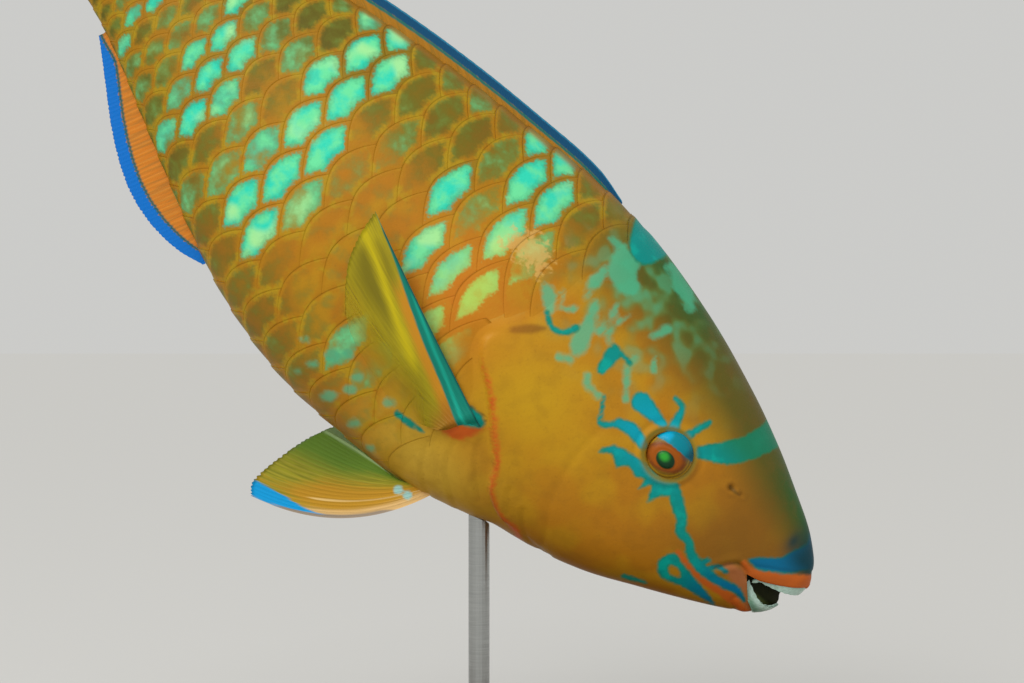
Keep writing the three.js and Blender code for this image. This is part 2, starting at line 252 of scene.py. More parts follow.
@dataclass(frozen=True)
class Patch:
    """A closed shape with soft corners."""

    outline: tuple
    steps: int = 3

    def distance(self, a: Array, h: Array) -> Array:
        """Measures how far points lie outside the shape.

        Args:
            a: first coordinate of the points.
            h: second coordinate of the points.

        Returns:
            The distance, negative inside.
        """
        ring = spline(self.outline, self.steps * len(self.outline), closed=True)
        best = np.full(np.shape(a), FAR)
        inside = np.zeros(np.shape(a), bool)
        for start, end in zip(ring, np.roll(ring, -1, axis=0)):
            best = np.minimum(best, to_segment(a, h, start, end)[1])
            run, rise = end - start
            crossing = start[0] + (h - start[1]) * run / (rise if abs(rise) > TINY else TINY)
            inside ^= ((start[1] > h) != (end[1] > h)) & (a < crossing)
        return np.where(inside, -best, best)


def nearest_of(shapes: tuple, a: Array, h: Array, end: float = MARKS_END) -> Array:
    """Measures how far points lie outside the nearest of several shapes.

    Args:
        shapes: strokes and patches.
        a: first coordinate of the points.
        h: second coordinate of the points.
        end: the place behind which none of the shapes reaches.

    Returns:
        The distance, negative inside any, and large behind the end.
    """
    found = np.full(np.shape(a), NO_MARK)
    front = a < end
    found[front] = np.minimum.reduce([shape.distance(a[front], h[front]) for shape in shapes])
    return found


TEAL_MARKS = (
    Stroke(((63.5, 15.5, 2.6), (56.5, 22.2, 4.4), (52.2, 28.2, 4.6), (48.2, 37.4, 5.2), (45.5, 46, 6.4))),
    Stroke(((72, 14, 2.2), (70.8, 19, 1.4), (68.8, 25.8, 1.1))),
    Stroke(((77, 13.5, 2.4), (78.6, 18.5, 1.7), (80.2, 22.4, 1.2), (84.3, 22.9, 1.0))),
    Stroke(((81, 13, 1.7), (87, 13, 2.8), (92.3, 13.1, 3.9))),
    Stroke(((81, 2.4, 1.9), (87.5, 3.4, 2.6), (93, 1.7, 1.9))),
    Stroke(((93, 1, 1.3), (97.6, -3.2, 1.1), (99.8, -0.6, 0.9), (103.8, 5, 0.7))),
    Patch((
        (60.5, 2), (66.8, -1.3), (74.5, -1.6), (82.2, -2.9), (89, -5.4), (91, -11.4), (86.6, -8),
        (82.2, -10.6), (79.3, -7), (74.5, -8), (71.4, -6), (70.7, -10.4), (68, -6), (64.7, -11.6),
        (62.8, -6.2), (59.5, -3.6),
    ), 2),
    Stroke((
        (61.8, -0.8, 2.4), (55.9, -4, 2.6), (50.9, -7, 2.2), (47.8, -10.4, 2), (42.8, -11, 1.7),
        (38.7, -13.6, 1.9), (32.5, -14.6, 2.3), (25, -13.8, 1.9), (20, -12.4, 1.8), (15.9, -11.1, 1.6),
        (10.8, -12.2, 0.7),
    )),
    Stroke(((33.6, -14, 1.3), (32.6, -10.8, 1.2))),
    Stroke(((30.4, -13.6, 1.2), (28.3, -10, 1), (24.2, -8.9, 0.8))),
    Patch((
        (44, -17.6), (37.4, -18.4), (27, -19.1), (19, -20.3), (16.6, -21.6), (23.3, -22.9), (31.8, -24.9),
        (39.9, -27.8), (45.5, -24.4),
    )),
    Stroke(((49.5, -37.4, 1.2), (42.3, -33.4, 0.7))),
    Patch((
        (22, 0.4), (17.3, -0.4), (12, 2.7), (5.6, 7.7), (0.8, 13.4), (-9, 17), (-9, 30), (7, 27.5),
        (10.4, 24), (9, 19.8), (11.8, 13.9), (13, 9.8), (17.3, 5.6),
    )),
    Patch(((124, 64), (124.6, 54), (128, 49.4), (133.5, 49.5), (137.8, 54), (141, 64))),
    Stroke(((128.6, 15.2, 1.5), (130.5, 11, 1.2), (135, 9.2, 1.2), (140.1, 11.8, 1))),
    Stroke(((112.2, 18, 3), (111.2, 11.4, 2))),
    Stroke(((114, 20.4, 1.2), (105.4, 20.2, 1))),
)
TEAL_HOLES = (
    Patch(((41.4, -22.4), (38, -21), (35, -22.6), (38.4, -24.4))),
)
HAZY_MARKS = (
    Patch((
        (137.6, 49.5), (136.4, 43), (134, 37.6), (128, 36.4), (122.4, 39), (122.6, 43), (126.6, 45.4),
        (128, 49.4),
    )),
    Stroke(((136.2, 37, 2), (135.6, 31, 2), (133.8, 26.6, 1.1))),
    Stroke(((143, 48.4, 1.5), (137, 49.2, 1.7))),
    Stroke(((130.4, 27.5, 0.8), (127, 20.4, 2.6), (124.6, 13.6, 3), (122.6, 8.8, 1.4))),
    Stroke(((123.4, 32, 0.7), (121.8, 25.8, 0.9), (121.6, 20.4, 0.9))),
    Stroke(((117.6, 32.4, 0.8), (119.4, 24, 1), (116, 20, 0.8))),
    Stroke(((105.6, 23, 0.8), (103.4, 16.6, 1.2), (97.6, 10.2, 0.8))),
    Stroke(((100.4, 28.6, 0.7), (97.2, 24.4, 1))),
    Stroke(((104, 39.4, 1.1), (106.2, 33.6, 1.4))),
    Stroke(((103, 52, 2), (112, 56, 3.4), (119, 57.6, 2))),
    Stroke(((148, 18.4, 1.5), (143.6, 17, 2.4), (140.4, 13.4, 1.4))),
    Stroke(((141, 22, 0.8), (137.6, 17, 0.8), (134, 19.6, 0.8))),
    Stroke(((104, 4.4, 0.8), (110, 3.4, 1.2), (113, 6, 1))),
    Stroke(((122, 5.6, 1), (125.6, 2.6, 1))),
)
RUST_MARKS = (
    Stroke(((43, -16.6, 0.9), (36, -17.5, 1.3), (28, -17.4, 1.5), (20, -15.6, 1.7), (13, -14.6, 2))),
    Stroke(((22, -2.2, 1.1), (17, -2.6, 2), (11, 0.2, 3), (4, 4.6, 3.2), (-3.4, 10.4, 3.4))),
    Stroke(((12.5, -14.4, 1.2), (9, -15, 1.6), (4, -15.2, 1.6))),
)
FLESH_MARKS = (
    Patch((
        (27, -8.6), (25, -5.4), (19, -4.2), (15, -6.2), (11.4, -9.8), (5, -12.4), (3.4, -14.2), (9, -14),
        (14, -11), (20, -10.4),
    )),
)
CREAM_MARKS = (
    Stroke(((152, 19, 1), (157, 24, 4.4), (163, 24, 5), (168, 19, 1.6))),
)
SMUDGE = Stroke(((136.6, 7, 0.3), (140, 3.4, 1.4), (144.4, -1.6, 0.8)))
SPOT_MARKS = tuple(Stroke(((a, h, wide), (a + 1.5, h - 1.5, wide - 0.6))) for a, h, wide in (
    (184, -55, 2.6), (187, -62.4, 1.9), (172, -54, 1.9), (170.5, -59, 1.6), (190, -69, 1.4),
    (175, -67.6, 2.3), (161, -67.4, 2), (181, -50.6, 1.9), (157, -52, 1.2), (196, -58, 1.1),
    (150, -70, 1.2),
))
CREASES = (
    ((124, -40), (118, -48), (108, -56)), ((131, -44), (126, -55), (114, -63)),
    ((95, -46), (86, -53), (74, -52)), ((104, -44), (98, -51)), ((138, -52), (132, -62), (122, -69)),
)

FOLD = ((28.5, -11), (25.6, -6), (22.6, -3.4), (18, -3.6))
# Dark marks: painted shade in the two nostril pits and along the fold behind the mouth's corner, a dark
# line over the pectoral fin's knob, and painted shadows of the pectoral fin at its root and along its rear
# edge
DARK_LINES_AND_PAINTED_SHADOWS = (
    Stroke(((47, 14.9, 0.2), (45.6, 14.4, 0.8), (43.8, 14.2, 0.6), (41.6, 14.6, 0.2))),
    Stroke(tuple((a, h, 0.3) for a, h in FOLD)),
    Stroke(((138, -33.4, 0.2), (133, -31.4, 0.4), (128.6, -31.8, 0.5), (127, -33.4, 0.2))),
    Stroke(((145.6, -42.6, 0.6), (141.5, -42.4, 0.9))),
    Stroke(((195, -40, 0.3), (190, -40.6, 0.7), (186.6, -40.2, 0.4))),
)
KNOB_MARKS = (
    Patch(((126.6, -34.6), (129.4, -32), (134, -31.8), (139, -33.6), (143, -37), (138, -39.6), (131, -38))),
    Stroke(((152.6, -53.4, 1.3), (147, -52.8, 1.4), (141, -51.4, 0.5))),
)
RED_MARKS = (
    Patch(((126.4, -35), (131, -37), (136, -40.6), (143.6, -43.6), (140, -46), (133, -45.6), (128.4, -42))),
)

# Bright scales: twice the column and the row, to how bright
BRIGHT = {
    (22, 0): 1, (24, 0): 0.5, (23, 1): 1, (21, 1): 1, (22, 2): 1, (24, 2): 0.7, (23, 3): 0.78,
    (21, 3): 1, (22, 4): 1, (24, 4): 0.5, (20, 4): 0.42, (21, 5): 0.95, (23, 5): 0.85, (25, 5): 0.35,
    (26, 4): 0.35, (26, 2): 0.35, (28, 2): 0.35, (30, 2): 0.3, (18, 2): 0.2, (32, 2): 0.95,
    (31, 3): 0.75, (29, 3): 0.9, (33, 3): 0.3, (30, 4): 0.9, (32, 4): 0.6, (28, 4): 0.55,
    (29, 5): 0.9, (31, 5): 0.45, (30, 6): 0.55, (38, 4): 0.8, (39, 5): 0.6, (38, 6): 0.6,
    (36, 4): 0.25, (14, 2): 1, (13, 3): 1, (11, 3): 0.72, (12, 2): 0.25, (11, 1): 1, (9, 1): 0.95,
    (10, 0): 0.85, (12, 0): 0.95, (10, 2): 0.85, (13, 1): 0.2, (8, 2): 0.35, (9, 3): 0.5,
    (10, 4): 0.45, (7, 3): 0.42, (8, 4): 0.3, (13, 5): 0.4, (11, 5): 0.2, (18, 0): 0.2,
    (16, 0): 0.3, (14, 0): 0.15,
}
# The other scales are unevenly bright up to these shares, before and behind a column
DULL_FRONT = 0.1
DULL_REAR = 0.34
DULL_BORDER = 24


# The body's form


@dataclass(frozen=True)
class BodyForm:
    """The body's stations, as in the CAD source, and readings of its surface."""

    at: tuple = (-3.4, 0, 4, 12, 24, 41, 63, 95, 134, 165, 195, 228, 260, 295, 335, 368, 400, 411)
    back: tuple = (
        10.2, 16, 19.8, 25.2, 31, 38.6, 46.6, 55.4, 61.6, 61.4, 58, 53.6, 47.8, 39.4, 28.4, 23, 24.6,
        25.6,
    )
    belly: tuple = (
        6, -7.5, -12.6, -18.8, -26.4, -36.2, -48, -58.6, -72, -75.8, -76.6, -71.4, -61, -47, -31.2,
        -24, -25.6, -26.6,
    )
    half: tuple = (
        2.8, 6.6, 8.6, 12.4, 17.2, 22.6, 27.8, 32.4, 35, 34.8, 32.4, 28, 22.4, 16.4, 11, 7.8, 4.6, 1.4,
    )
    back_fullness: float = 1.02
    belly_fullness: float = 0.86
    ridge_turn: float = 1.56

    def size(self, a: Array) -> tuple:
        """The height of the back and of the belly and half the width, at places along the fish."""
        knots = np.array(self.at, float)
        return tuple(
            smooth_at(knots, np.array(values, float), a)
            for values in (self.back, self.belly, self.half)
        )

    def point(self, a: Array, turn: Array) -> Array:
        """A point of the right flank.

        Args:
            a: distance behind the snout.
            turn: angle in radians, from -90 degrees at the belly to 90 at the back.

        Returns:
            Points a, s, h.
        """
        back, belly, half = self.size(a)
        power = np.where(turn > 0, self.back_fullness, self.belly_fullness)
        s = half * np.maximum(np.cos(turn), 0) ** power
        h = (back + belly) / 2 + (back - belly) / 2 * np.sin(turn)
        return np.stack(np.broadcast_arrays(a, s, h), axis=-1).astype(float)

    def normal(self, a: Array, turn: Array) -> Array:
        """Reads the outward direction of the right flank.

        Args:
            a: distance behind the snout.
            turn: angle in radians.

        Returns:
            Unit vectors in a, s and h.
        """
        near, far = (np.clip(turn + step, -1.5707, 1.5707) for step in (-0.01, 0.01))
        along = self.point(a + 0.4, turn) - self.point(a - 0.4, turn)
        upward = self.point(a, far) - self.point(a, near)
        out = np.cross(upward, along)
        out[..., 1] = np.where(np.abs(turn) > self.ridge_turn, 0, out[..., 1])
        return out / np.maximum(np.linalg.norm(out, axis=-1, keepdims=True), TINY)

    def turn_at(self, a: Array, h: Array) -> Array:
        """Finds the angle at which the flank reaches a height.

        Args:
            a: distance behind the snout.
            h: the height.

        Returns:
            The angle in radians, held at the back and the belly.
        """
        back, belly, _ = self.size(a)
        level = (h - (back + belly) / 2) / ((back - belly) / 2)
        return np.arcsin(np.clip(level, -1, 1))

    def flank_at(self, a: float, h: float) -> float:
        """How far the flank stands off the middle plane at one place."""
        turn = self.turn_at(np.array(a, float), np.array(h, float))
        return float(self.point(np.array(a, float), turn)[..., 1])


BODY = BodyForm()


class Girth:
    """Shares of the way round the flank, from 0 at the back to 1 at the belly, to angles."""

    STEPS = 361
    SHARES = 201
    FIRST = -3.0

    def __init__(self) -> None:
        """Measures the flank's outline at every millimetre."""
        self.at = np.arange(self.FIRST, BODY_END, 1.0)
        turns = np.radians(np.linspace(90, -90, self.STEPS))
        outline = BODY.point(self.at[:, None], turns[None, :])
        step = np.linalg.norm(np.diff(outline, axis=1), axis=-1)
        run = np.concatenate([np.zeros((len(self.at), 1)), np.cumsum(step, axis=1)], axis=1)
        self.length = run[:, -1]
        shares = np.linspace(0, 1, self.SHARES)
        self.turns = np.array([np.interp(shares, r / r[-1], turns) for r in run])
        self.by_turn = np.array([np.interp(-turns, -turns, r / r[-1]) for r in run])

    def turn(self, a: Array, share: Array) -> Array:
        """The angle at a that lies the given share of the way down the flank."""
        return self._read(self.turns, a, np.clip(share, 0, 1) * (self.SHARES - 1))

    def share(self, a: Array, turn: Array) -> Array:
        """The share of the way down the flank of an angle at a."""
        place = (math.pi / 2 - turn) / math.pi * (self.STEPS - 1)
        return self._read(self.by_turn, a, place)

    def around(self, a: Array) -> Array:
        """The flank's length from back to belly at a."""
        return np.interp(a, self.at, self.length)

    def _read(self, table: Array, a: Array, column: Array) -> Array:
        """Reads a table between its rows and columns.

        Args:
            table: values by millimetre along the body and by column.
            a: distance behind the snout.
            column: the column, with its fraction.

        Returns:
            The values.
        """
        row = np.clip(a - self.at[0], 0, len(self.at) - 1.001)
        column = np.clip(column, 0, table.shape[1] - 1.001)
        i, j = row.astype(int), column.astype(int)
        u, v = row - i, column - j
        top = table[i, j] * (1 - v) + table[i, j + 1] * v
        low = table[i + 1, j] * (1 - v) + table[i + 1, j + 1] * v
        return top * (1 - u) + low * u


GIRTH = Girth()


@dataclass(frozen=True)
class ScaleLattice:
    """Where the scales sit: columns along the body in step, rows at set shares of the girth."""

    start: float = 100.0
    pitch: float = 12.93
    pitch_share: float = 0.0999
    lean: float = 1.143
    first_row: float = 0.0678
    row_step: float = 0.1379
    phase: float = 0.3105
    reach: float = 0.95
    depth: float = 1.0
    roundness: float = 1.8
    cell_lean: float = 0.3
    front_slope: float = 0.8

    def _table(self) -> tuple:
        """Counts the columns along the body.

        Returns:
            Distances behind the snout, and the running count of columns there.
        """
        at = np.arange(self.start, BODY_END, 1.0)
        pitch = self.pitch_at(at)
        steps = (1 / pitch[1:] + 1 / pitch[:-1]) / 2
        return at, np.concatenate([[0.0], np.cumsum(steps)])

    def pitch_at(self, a: Array) -> Array:
        """The distance between columns at a."""
        return np.minimum(self.pitch, self.pitch_share * GIRTH.around(a))

    def column(self, a: Array, share: Array) -> Array:
        """Counts the columns up to a place.

        Args:
            a: distance behind the snout.
            share: share of the way down the flank.

        Returns:
            The running column number, with its fraction.
        """
        at, count = self._table()
        before = (a - self.start) / self.pitch
        along = np.where(a < self.start, before, np.interp(a, at, count))
        return along + self.lean * (share - 0.5) - self.phase

    def along(self, column: Array, share: Array) -> Array:
        """Finds a column on the body.

        Args:
            column: the running column number.
            share: share of the way down the flank.

        Returns:
            The distance behind the snout.
        """
        at, count = self._table()
        run = column + self.phase - self.lean * (share - 0.5)
        return np.where(run < 0, self.start + run * self.pitch, np.interp(run, count, at))

    def edge(self, q: Array) -> Array:
        """How far a scale's free edge stands behind its middle, in columns, at q across it."""
        rows = np.clip(q, -1, 1) * self.reach
        return 0.5 - self.depth * np.abs(rows) ** self.roundness - self.cell_lean * rows

    def square_on(self, a: Array, q: Array) -> Array:
        """Compares a distance square to the free edge with one along the body.

        Args:
            a: distance behind the snout.
            q: the place across the scale, from -1 to 1.

        Returns:
            The factor from the distance along the body to the square one.
        """
        rows = np.clip(q, -1, 1) * self.reach
        bend = self.roundness * self.depth * np.abs(rows) ** (self.roundness - 1) * np.sign(rows)
        slope = (bend + self.cell_lean) * self.pitch_at(a) / (self.row_step * GIRTH.around(a))
        return 1 / np.sqrt(1 + slope**2)

    def covered_to(self, q: Array) -> Array:
        """Finds how far the scales before a scale reach over it.

        Args:
            q: the place across the scale, from -1 to 1.

        Returns:
            The reach, in columns behind the scale's middle.
        """
        found = self.edge(q) - 1
        for step in (-1, 1):
            beside = q + step / self.reach
            reached = np.where(np.abs(beside) <= 1, self.edge(beside) - 0.5, -FAR)
            found = np.maximum(found, reached)
        return found

    def locate(self, a: Array, share: Array) -> tuple:
        """Finds the scale that shows at a place: the foremost one that reaches it.

        Args:
            a: distance behind the snout.
            share: share of the way down the flank.

        Returns:
            Twice the scale's column number, its row, the distances in columns to its own free
            edge behind and to the free edges before it, and its q.
        """
        w = self.column(a, share)
        low = np.floor((share - self.first_row) / self.row_step).astype(int)
        centre = np.full(np.shape(w), FAR)
        row_of = np.zeros(np.shape(w), int)
        q_of = np.zeros(np.shape(w))
        for step in (-1, 0, 1, 2):
            row = low + step
            q = (share - self.first_row - row * self.row_step) / (self.row_step * self.reach)
            offset = 0.5 * (row % 2)
            foremost = np.ceil(w - self.edge(q) - offset) + offset
            foremost = np.where(np.abs(q) <= 1, foremost, FAR)
            nearer = foremost < centre
            centre = np.where(nearer, foremost, centre)
            row_of = np.where(nearer, row, row_of)
            q_of = np.where(nearer, q, q_of)
        twice = np.round(2 * centre).astype(int)
        rear = centre + self.edge(q_of) - w
        return twice, row_of, rear, w - centre - self.covered_to(q_of), q_of

    def rim(self, a: Array, q: Array, rear: Array, front: Array) -> Array:
        """Millimetres from the border of a scale's visible part, from rear and front in columns."""
        return np.minimum(rear * self.square_on(a, q), front * self.front_slope) * self.pitch_at(a)


LATTICE = ScaleLattice()


def brightness(twice: Array, row: Array) -> Array:
    """How bright scales are: the marked ones as listed, the rest a little uneven.

    Args:
        twice: twice the column number of each scale.
        row: its row.

    Returns:
        A brightness from 0 to 1 each.
    """
    value = np.abs(np.sin(twice * 12.9898 + row * 78.233) * 43758.5453) % 1
    value = value * np.where(twice > DULL_BORDER, DULL_REAR, DULL_FRONT)
    for (column, line), bright in BRIGHT.items():
        value = np.where((twice == column) & (row == line), bright, value)
    return value


# Fields painted on skin and scales alike

GILL_EDGE = (
    (126, 90), (130, 60), (136, 11.4), (143, -0.2), (148.3, -9.8), (145, -16.5), (133.3, -24.2),
    (121.8, -34), (114, -40.6), (108, -49.4), (99, -53.8), (86.5, -57.3), (76, -90),
)
GILL_LINE = spline(GILL_EDGE, 78)
CHEEK_LINE = spline(((103, 21), (97, 0), (95, -19), (90, -36), (78, -54), (68, -90)), 30)
EYE_A = 71.6
EYE_H = 6.5
EYE_FLATNESS = 1.03
SOCKET_RADIUS = 9.7

# Fields that are soft spots: how strong, where, and how long and high each is
SOFT_SPOTS = {
    "gold": ((1.0, (122, -14), (28, 24)), (0.9, (138, -58), (24, 12))),
    "moss": ((0.7, (118, 40), (30, 20)),),
    "vivid": ((0.75, (168, -4), (22, 24)),),
    "lime": ((0.85, (163, -4), (15, 26)),),
    # Painted light: the breast's pale gold, made lighter where the lamps leave the underside darker
    "breast": ((0.75, (132, -62), (32, 15)),),
    "cyan": ((0.9, (84, 8), (16, 14)),),
}
# Fields that are the distance to the nearest mark, and how far back the marks reach
MARK_FIELDS = {
    "hazy": (HAZY_MARKS, MARKS_END),
    "dark": (DARK_LINES_AND_PAINTED_SHADOWS, DARK_END),
    "rust": (RUST_MARKS, MARKS_END),
    "flesh": (FLESH_MARKS, MARKS_END),
    "cream": (CREAM_MARKS, DARK_END),
    "spots": (SPOT_MARKS, DARK_END),
}


def from_eye(a: Array, h: Array) -> Array:
    """The distance from the eye's middle in the side view."""
    return np.hypot(a - EYE_A, (h - EYE_H) * EYE_FLATNESS)


def coat_share(gill: Array, a: Array) -> Array:
    """How far the coat of scales stands up, from 0 at the gill cover's edge to 1 behind it."""
    return ease(gill, 1, 8) * ease(a, 126, 150)


def pattern_share(gill: Array, a: Array) -> Array:
    """How much of the scales' pattern shows, from 0 at the gill cover's edge to 1 behind it."""
    return ease(gill, 3, 15) * ease(a, 134, 160)


def ground_fields(a: Array, h: Array) -> dict:
    """The broad colours at points of the side view.

    Args:
        a: distance behind the snout.
        h: height.

    Returns:
        Field name to shares.
    """
    back, belly, _ = BODY.size(a)
    level = np.where(h > 0, h / back, -h / belly)
    trunk = 0.7 * ease(level, 0.06, 0.6) + 0.34 * ease(level, -0.45, -0.8)
    olive = ease(level, 0.3, 0.85) * ease(a, 195, 150) + trunk * ease(a, 160, 205)
    olive = olive * (1 - 0.35 * ease(a, 130, 145) * ease(a, 175, 160)) + 0.6 * ease(a, 235, 300)
    umber = 0.75 * ease(a, 66, 30) * ease(level, -0.9, -0.2)
    # Painted shade: darker towards the belly's lowest edge, except under the breast
    umber += 0.4 * ease(level, -0.66, -0.98) * (1 - np.exp(-(((a - 132) / 34) ** 4)))
    umber += 0.8 * ease(SMUDGE.distance(a, h), 1.2, -0.6)
    brow = ease(level, 0.66, 0.96) * (ease(a, 50, 24) + ease(a, 76, 104)) * ease(a, 150, 118)
    ridge = ease(level, 0.93, 0.975) * ease(h, 0, 5) * ease(a, 148, 158) * ease(a, 372, 350)
    return {
        "olive": np.clip(olive, 0, 0.92),
        "umber": np.clip(umber, 0, 1),
        "green": 0.8 * brow,
        "ridge": 0.85 * ridge,
        "crown": 0.8 * ease(h, 16, 30) * ease(a, 70, 60),
        "blue": ease(a, 40, 18),
        "navy": 0.9 * ease(a, 20, 5) * ease(h, 5, 15) + 0.5 * blob(a, h, (14, 17), (2, 3)),
        # The olive ring round the eye, laid over the socket's groove as painted light that lifts the
        # groove's shade
        "socket": 0.85 * bell((from_eye(a, h) - SOCKET_RADIUS) / 1.1),
    }


def paint_fields(a: Array, h: Array) -> dict:
    """The markings at points of the side view.

    Args:
        a: distance behind the snout.
        h: height.

    Returns:
        Field name to values: distances in millimetres, negative inside a mark, or shares.
    """
    edge = np.abs(from_line(GILL_LINE, a, h) + 0.4) - 0.9 * ease(a, 70, 90) + 2.5 * ease(h, -22, -12)
    found = {
        "teal": np.maximum(nearest_of(TEAL_MARKS + KNOB_MARKS, a, h), -nearest_of(TEAL_HOLES, a, h)),
        "red": np.minimum(nearest_of(RED_MARKS, a, h), edge),
        **ground_fields(a, h),
    }
    for name, (shapes, end) in MARK_FIELDS.items():
        found[name] = nearest_of(shapes, a, h, end)
    for name, spots in SOFT_SPOTS.items():
        found[name] = np.clip(sum(most * blob(a, h, place, size) for most, place, size in spots), 0, 1)
    return found


def scale_fields(gill: Array, a: Array, rim: Array, glow: Array,
                 mouth: Array) -> dict:
    """The fields of the scales and the mouth, from what is known of each point."""
    return {"scaled": pattern_share(gill, a), "rim": rim, "glow": glow, "mouth": mouth}


# Mesh and node helpers


def weld(points: Array, faces: Array) -> tuple:
    """Joins points that share a place.

    Args:
        points: all points.
        faces: four point numbers per face.

    Returns:
        The kept point numbers, and each face's corners renumbered.
    """
    keys = np.round(points * 1e4).astype(np.int64)
    _, first, back = np.unique(keys, axis=0, return_index=True, return_inverse=True)
    return first, back.reshape(-1)[faces]


def make_mesh(name: str, points: Array, faces: Array, fields: dict,
              unwrap: Array, material: Material) -> Piece:
    """Builds one smooth mesh object.

    Args:
        name: the object's name.
        points: a, s, h in millimetres.
        faces: four point numbers per face, a repeated one for a triangle.
        fields: point values by name.
        unwrap: the place of each point in the bake map.
        material: its finish.

    Returns:
        The new object, in the shared frame.
    """
    kept, joined = weld(points, faces)
    loops, starts, totals, corners = [], [], [], []
    count = 0
    for face, origin in zip(joined.tolist(), faces.tolist()):
        ring = [(v, o) for k, (v, o) in enumerate(zip(face, origin)) if v != face[k - 1]]
        if len(ring) < 3:
            continue
        loops.extend(v for v, _ in ring)
        corners.extend(o for _, o in ring)
        starts.append(count)
        totals.append(len(ring))
        count += len(ring)
    mesh = bpy.data.meshes.new(name)
    mesh.vertices.add(len(kept))
    mesh.vertices.foreach_set("co", to_world(points[kept]).astype(np.float32).ravel())
    mesh.loops.add(count)
    mesh.loops.foreach_set("vertex_index", np.array(loops, np.int32))
    mesh.polygons.add(len(starts))
    mesh.polygons.foreach_set("loop_start", np.array(starts, np.int32))
    mesh.polygons.foreach_set("loop_total", np.array(totals, np.int32))
    mesh.polygons.foreach_set("use_smooth", np.ones(len(starts), bool))
    mesh.update(calc_edges=True)
    for key, values in fields.items():
        layer = mesh.attributes.new(key, "FLOAT", "POINT")
        layer.data.foreach_set("value", np.asarray(values, np.float32)[kept])
    uv = mesh.uv_layers.new(name="OFBake")
    uv.data.foreach_set("uv", unwrap[np.array(corners)].astype(np.float32).ravel())
    mesh.validate()
    mesh.materials.append(material)
    obj = bpy.data.objects.new(name, mesh)
    bpy.context.scene.collection.objects.link(obj)
    return obj


def grid_faces(rows: int, columns: int, start: int = 0) -> Array:
    """The faces of a grid of points numbered row by row, as four point numbers each."""
    i = np.arange(rows - 1)[:, None] * columns + np.arange(columns - 1)[None, :] + start
    return np.stack([i, i + 1, i + columns + 1, i + columns], axis=-1).reshape(-1, 4)


def plate_faces(rows: int, columns: int) -> Array:
    """Lays faces on a closed plate: a front grid, a rear grid numbered after it, and the rim.

    Args:
        rows: points one way.
        columns: points the other way.

    Returns:
        Four point numbers per face.
    """
    front = grid_faces(rows, columns)[:, ::-1]
    rear = grid_faces(rows, columns, rows * columns)
    rim = [r * columns for r in range(rows)] + [(rows - 1) * columns + c for c in range(1, columns)]
    rim += [r * columns + columns - 1 for r in range(rows - 2, -1, -1)]
    rim += list(range(columns - 2, 0, -1))
    start = np.array(rim)
    end = np.roll(start, -1)
    under = rows * columns
    return np.concatenate([front, rear, np.stack([start, end, end + under, start + under], axis=-1)])


def facing_out(points: Array, faces: Array) -> Array:
    """Turns the faces of a closed shape so that they look outwards.

    Args:
        points: all points.
        faces: four point numbers per face, all one way round.

    Returns:
        The faces, turned round if they looked inwards.
    """
    p0, p1, p2, p3 = (points[faces[:, k]] for k in range(4))
    volume = np.sum(np.cross(p1 - p0, p2 - p0) * p0) + np.sum(np.cross(p2 - p0, p3 - p0) * p0)
    return faces if volume < 0 else faces[:, ::-1]


def two_sides(middle: Array, front: Array, rear: Array) -> Array:
    """The points of a plate's front and rear, from its middle and how far each stands off it."""
    return np.concatenate([(middle + front).reshape(-1, 3), (middle - rear).reshape(-1, 3)])


def grid_shares(columns: int, rows: int) -> tuple:
    """Shares from 0 to 1 along and across a grid, both as full grids."""
    return np.meshgrid(np.linspace(0, 1, columns), np.linspace(0, 1, rows), indexing="ij")


def spread(count_u: int, count_v: int, low_v: float = 0.02) -> Array:
    """Lays a closed plate in the bake map, its front and its rear side by side.

    Args:
        count_u: points along the plate.
        count_v: points across it.
        low_v: where the plate's part of the map starts.

    Returns:
        The place of each point in the map.
    """
    u, v = np.meshgrid(
        np.linspace(0.02, 0.98, count_u), np.linspace(low_v, 0.98, count_v), indexing="ij")
    sides = [np.stack([low_u + u * 0.48, v], axis=-1).reshape(-1, 2) for low_u in (0.02, 0.5)]
    return np.concatenate(sides)


def linear(code: str) -> tuple:
    """Turns an sRGB hex colour into the linear values that Blender takes."""
    parts = [int(code[i : i + 2], 16) / 255 for i in (1, 3, 5)]
    return (*(c / 12.92 if c <= 0.04045 else ((c + 0.055) / 1.055) ** 2.4 for c in parts), 1.0)


def per_metre(size_mm: float) -> float:
    """The texture scale at which one pattern cell measures size_mm."""
    return 1000.0 / size_mm


def add_node(tree: bpy.types.NodeTree, kind: str, settings: dict, inputs: dict) -> bpy.types.Node:
    """Adds a node with its settings and links.

    Args:
        tree: the material's tree.
        kind: the node's type.
        settings: property name to value.
        inputs: input name or number to a value, to a hex colour, or to the output socket that
            feeds it.

    Returns:
        The new node.
    """
    node = tree.nodes.new(kind)
    for key, value in settings.items():
        setattr(node, key, value)
    for key, value in inputs.items():
        if isinstance(value, Socket):
            tree.links.new(value, node.inputs[key])
        else:
            node.inputs[key].default_value = linear(value) if isinstance(value, str) else value
    return node


RGBA = {"data_type": "RGBA"}
FACTOR, UNDER, OVER, MIXED = 0, 6, 7, 2


